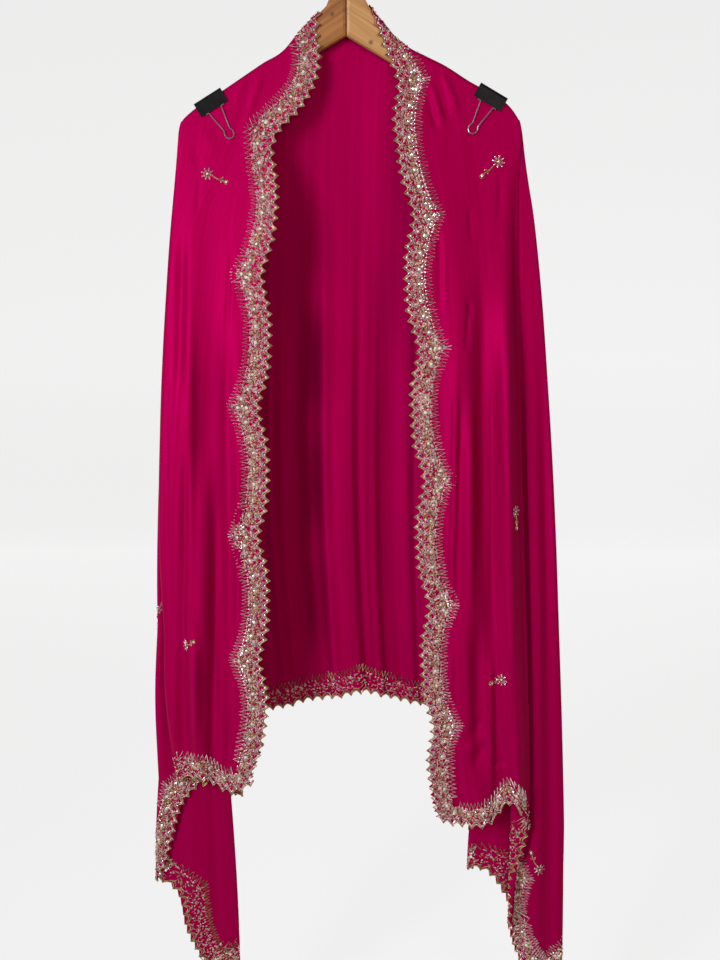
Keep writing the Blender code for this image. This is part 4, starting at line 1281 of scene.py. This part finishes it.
for side in SIGN:
    down, height = front_band(side)
    hem, hem_width = hem_band(side)
    fall, fall_length = side_band(side)
    turned = side == "left"
    face = SIGN[side]
    motifs = []
    for flower, bud in FRONT_MOTIFS[side]:
        motifs += front_motif(side, flower, bud)
    worked = [worked_piece(f"border_work_front_{side}", [
        (down, height, NOTCH_START[side], face,
         lambda r: (height - r[:, 0] > r[:, 1]) & (down.place(*r[:, :2].T)[:, 1] > BEHIND_ARM),
         False),
        (hem, hem_width, HEM_START, face,
         lambda r: (r[:, 0] > r[:, 1]) & (r[:, 0] < hem_width - 0.001), True),
    ], motifs)]
    motifs = []
    for q, t, turn in SIDE_MOTIFS[side]:
        motifs += motif(partial(side_surface, side), q, t, turn, face)
    worked.append(worked_piece(
        f"border_work_falls_{side}",
        [(fall, fall_length, FALL_START, face,
          lambda r: between_ends(fall_length)(r) & (fall.place(*r[:, :2].T)[1] < 1.0),
          True)], motifs))
    patches = [
        front_main(side),
        side_main(side),
        strip(down, height, NOTCH_START[side], turned, -OVER_ARM, last_cut=HEM_START),
        strip(hem, hem_width, HEM_START, not turned, corner_start(side, hem_width)),
        side_strip(side, fall, fall_length, FALL_START),
    ]
    sheet_piece(
        f"stole_{side}", patches,
        [f"front_panel_{side}", f"side_fall_{side}", f"border_front_{side}",
         f"border_hem_{side}", f"border_side_{side}"],
    )
hem, hem_width = back_band()
neck, neck_width = neck_band()
motifs = []
for s, t in BACK_MOTIFS:
    motifs += motif(back_surface, s, t, -1.5, -1.0)
worked = worked_piece("border_work_back", [
    (hem, hem_width, BACK_START, -1.0, between_ends(hem_width), True),
    (neck, neck_width, 0.0, 1.0,
     lambda r: between_ends(neck_width)(r) & (r[:, 1] < NECK_STRIP - 0.002), True),
], motifs)
sheet_piece(
    "stole_back",
    [back_main(), strip(hem, hem_width, BACK_START, True),
     strip(neck, neck_width, 0.0, True, depth=NECK_STRIP)],
    ["back_panel", "border_back", "border_neck"],
)

# ---- hanger and clips -----------------------------------------------------
# The two halves of the hanger are one wood painted in two tones: the left half darker as painted
# shade, the right half paler as painted light.
WOOD = {
    "left": waxed_wood("waxed_wood_painted_shade", "#8A5422", "#BC7C3C", -0.60,
                       (-0.0183, -0.006, -0.126)),
    "right": waxed_wood("waxed_wood_painted_light", "#AE7840", "#DBA868", 0.55,
                        (0.0323, -0.006, -0.161)),
}
# Stove lacquer: black with one soft highlight along the spine.
BLACK_STEEL = mottled_finish(
    "spring_steel_lacquered_black", "#0B0B0D", "#151518", 0.34, 0.0, METAL_SCALE, 2.0, 0.18)
# Plated wire: warm grey, with a bright line down each leg.
NICKEL_WIRE = mottled_finish(
    "wire_bent_nickel_plated", "#A5A2A4", "#CFCCCE", 0.30, 0.9, METAL_SCALE, 2.0)
# Chromed wire: cooler and sharper.
HOOK_STEEL = mottled_finish(
    "hook_wire_bright_chromed", "#A9AAB0", "#D4D5DA", 0.20, 1.0, METAL_SCALE, 2.0)


def finish_node(name, material):
    """Gives a solid that stays as it is its material."""
    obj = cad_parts[name]
    if not obj.material_slots:
        obj.data.materials.append(None)
    for holder in obj.material_slots:
        holder.material = material


for side in SIGN:
    finish_node(f"hanger_wood_{side}", WOOD[side])
    finish_node(f"clip_body_{side}", BLACK_STEEL)
    for place in ("front", "rear"):
        finish_node(f"clip_handle_{side}_{place}", NICKEL_WIRE)
finish_node("hook", HOOK_STEEL)
finish_node("hook_ferrule", HOOK_STEEL)

# ---- studio --------------------------------------------------------------
FLOOR_Z = -1.60
FLOOR_FRONT_Y = -4.5
WALL_Y = 4.5
WALL_HEIGHT = 4.2
BEND_RADIUS = 0.9
HALF_WIDTH = 6.0


def sweep():
    """A pale floor that turns up into a wall behind: a profile carried along X.

    The paper is lit through from behind, but for the floor in front of the garment.
    """
    turn = np.linspace(0.0, math.pi / 2, 17)
    bend_y = WALL_Y - BEND_RADIUS
    y = np.concatenate([[FLOOR_FRONT_Y, 3.0], bend_y + BEND_RADIUS * np.sin(turn), [WALL_Y]])
    rise = BEND_RADIUS * (1 - np.cos(turn))
    z = np.concatenate([[0.0, 0.0], rise, [WALL_HEIGHT]]) + FLOOR_Z
    x = np.array([-HALF_WIDTH, 0.0, HALF_WIDTH])
    grid = np.stack(np.broadcast_arrays(x[None, :], y[:, None], z[:, None]), -1)
    index = np.arange(grid.shape[0] * 3).reshape(-1, 3)
    mesh = bpy.data.meshes.new("studio_sweep")
    mesh.from_pydata(grid.reshape(-1, 3), [], grid_quads(index)[..., ::-1].reshape(-1, 4))
    mesh.shade_smooth()
    obj = bpy.data.objects.new("studio_sweep", mesh)
    bpy.context.scene.collection.objects.link(obj)
    paper, tree, shader = new_finish(
        "paper_backdrop_lit_through", 0.9, Emission_Color=linear("#FFFFFF"))
    place = add_node(tree, "ShaderNodeTexCoord").outputs["Object"]
    parts = add_node(tree, "ShaderNodeSeparateXYZ", [(0, place)])
    behind = add_node(tree, "ShaderNodeMapRange", [
        ("Value", parts.outputs["Y"]), ("From Min", -0.35), ("From Max", 0.12)])
    glow = add_node(tree, "ShaderNodeMath", [(0, behind.outputs[0]), (1, 0.75)],
                    operation="MULTIPLY")
    tree.links.new(glow.outputs[0], shader.inputs["Emission Strength"])
    tone = two_tone(tree, behind.outputs[0], (0.0, 1.0), "#DEDEDE", "#8A8A8A")
    tree.links.new(tone, shader.inputs["Base Color"])
    mesh.materials.append(paper)


def soft_light(name, place, aim, size, power, colour, spread):
    """A rectangular lamp at place, turned to aim, its beam `spread` degrees wide."""
    data = bpy.data.lights.new(name, "AREA")
    data.spread = math.radians(spread)
    data.shape = "RECTANGLE"
    data.size, data.size_y = size
    data.energy = power
    data.color = linear(colour)[:3]
    lamp = bpy.data.objects.new(name, data)
    lamp.location = place
    away = np.array(place) - np.array(aim)
    lamp.rotation_euler = (
        math.atan2(math.hypot(away[0], away[1]), away[2]), 0.0, math.atan2(away[0], -away[1])
    )
    bpy.context.scene.collection.objects.link(lamp)


sweep()
soft_light("window", (-1.5, -1.95, 0.0), (0, 0, -0.72), (0.8, 1.2), 7.6, "#EDF0FF", 62)
soft_light("fill", (0.9, -2.7, 0.2), (0, 0, -0.5), (1.4, 1.6), 4.4, "#FFEFE2", 80)
world = bpy.data.worlds.new("studio")
bpy.context.scene.world = world
world.use_nodes = True
world.node_tree.nodes["Background"].inputs["Color"].default_value = linear("#F4EEEA")
world.node_tree.nodes["Background"].inputs["Strength"].default_value = 0.25

camera = bpy.data.objects.new("camera", bpy.data.cameras.new("camera"))
camera.data.lens = 39.18
camera.location = (0.018, -1.439, -0.5403)
camera.rotation_euler = (math.radians(82.09), 0.0, 0.0)
bpy.context.scene.collection.objects.link(camera)
bpy.context.scene.camera = camera
bpy.context.scene.view_settings.view_transform = "Standard"
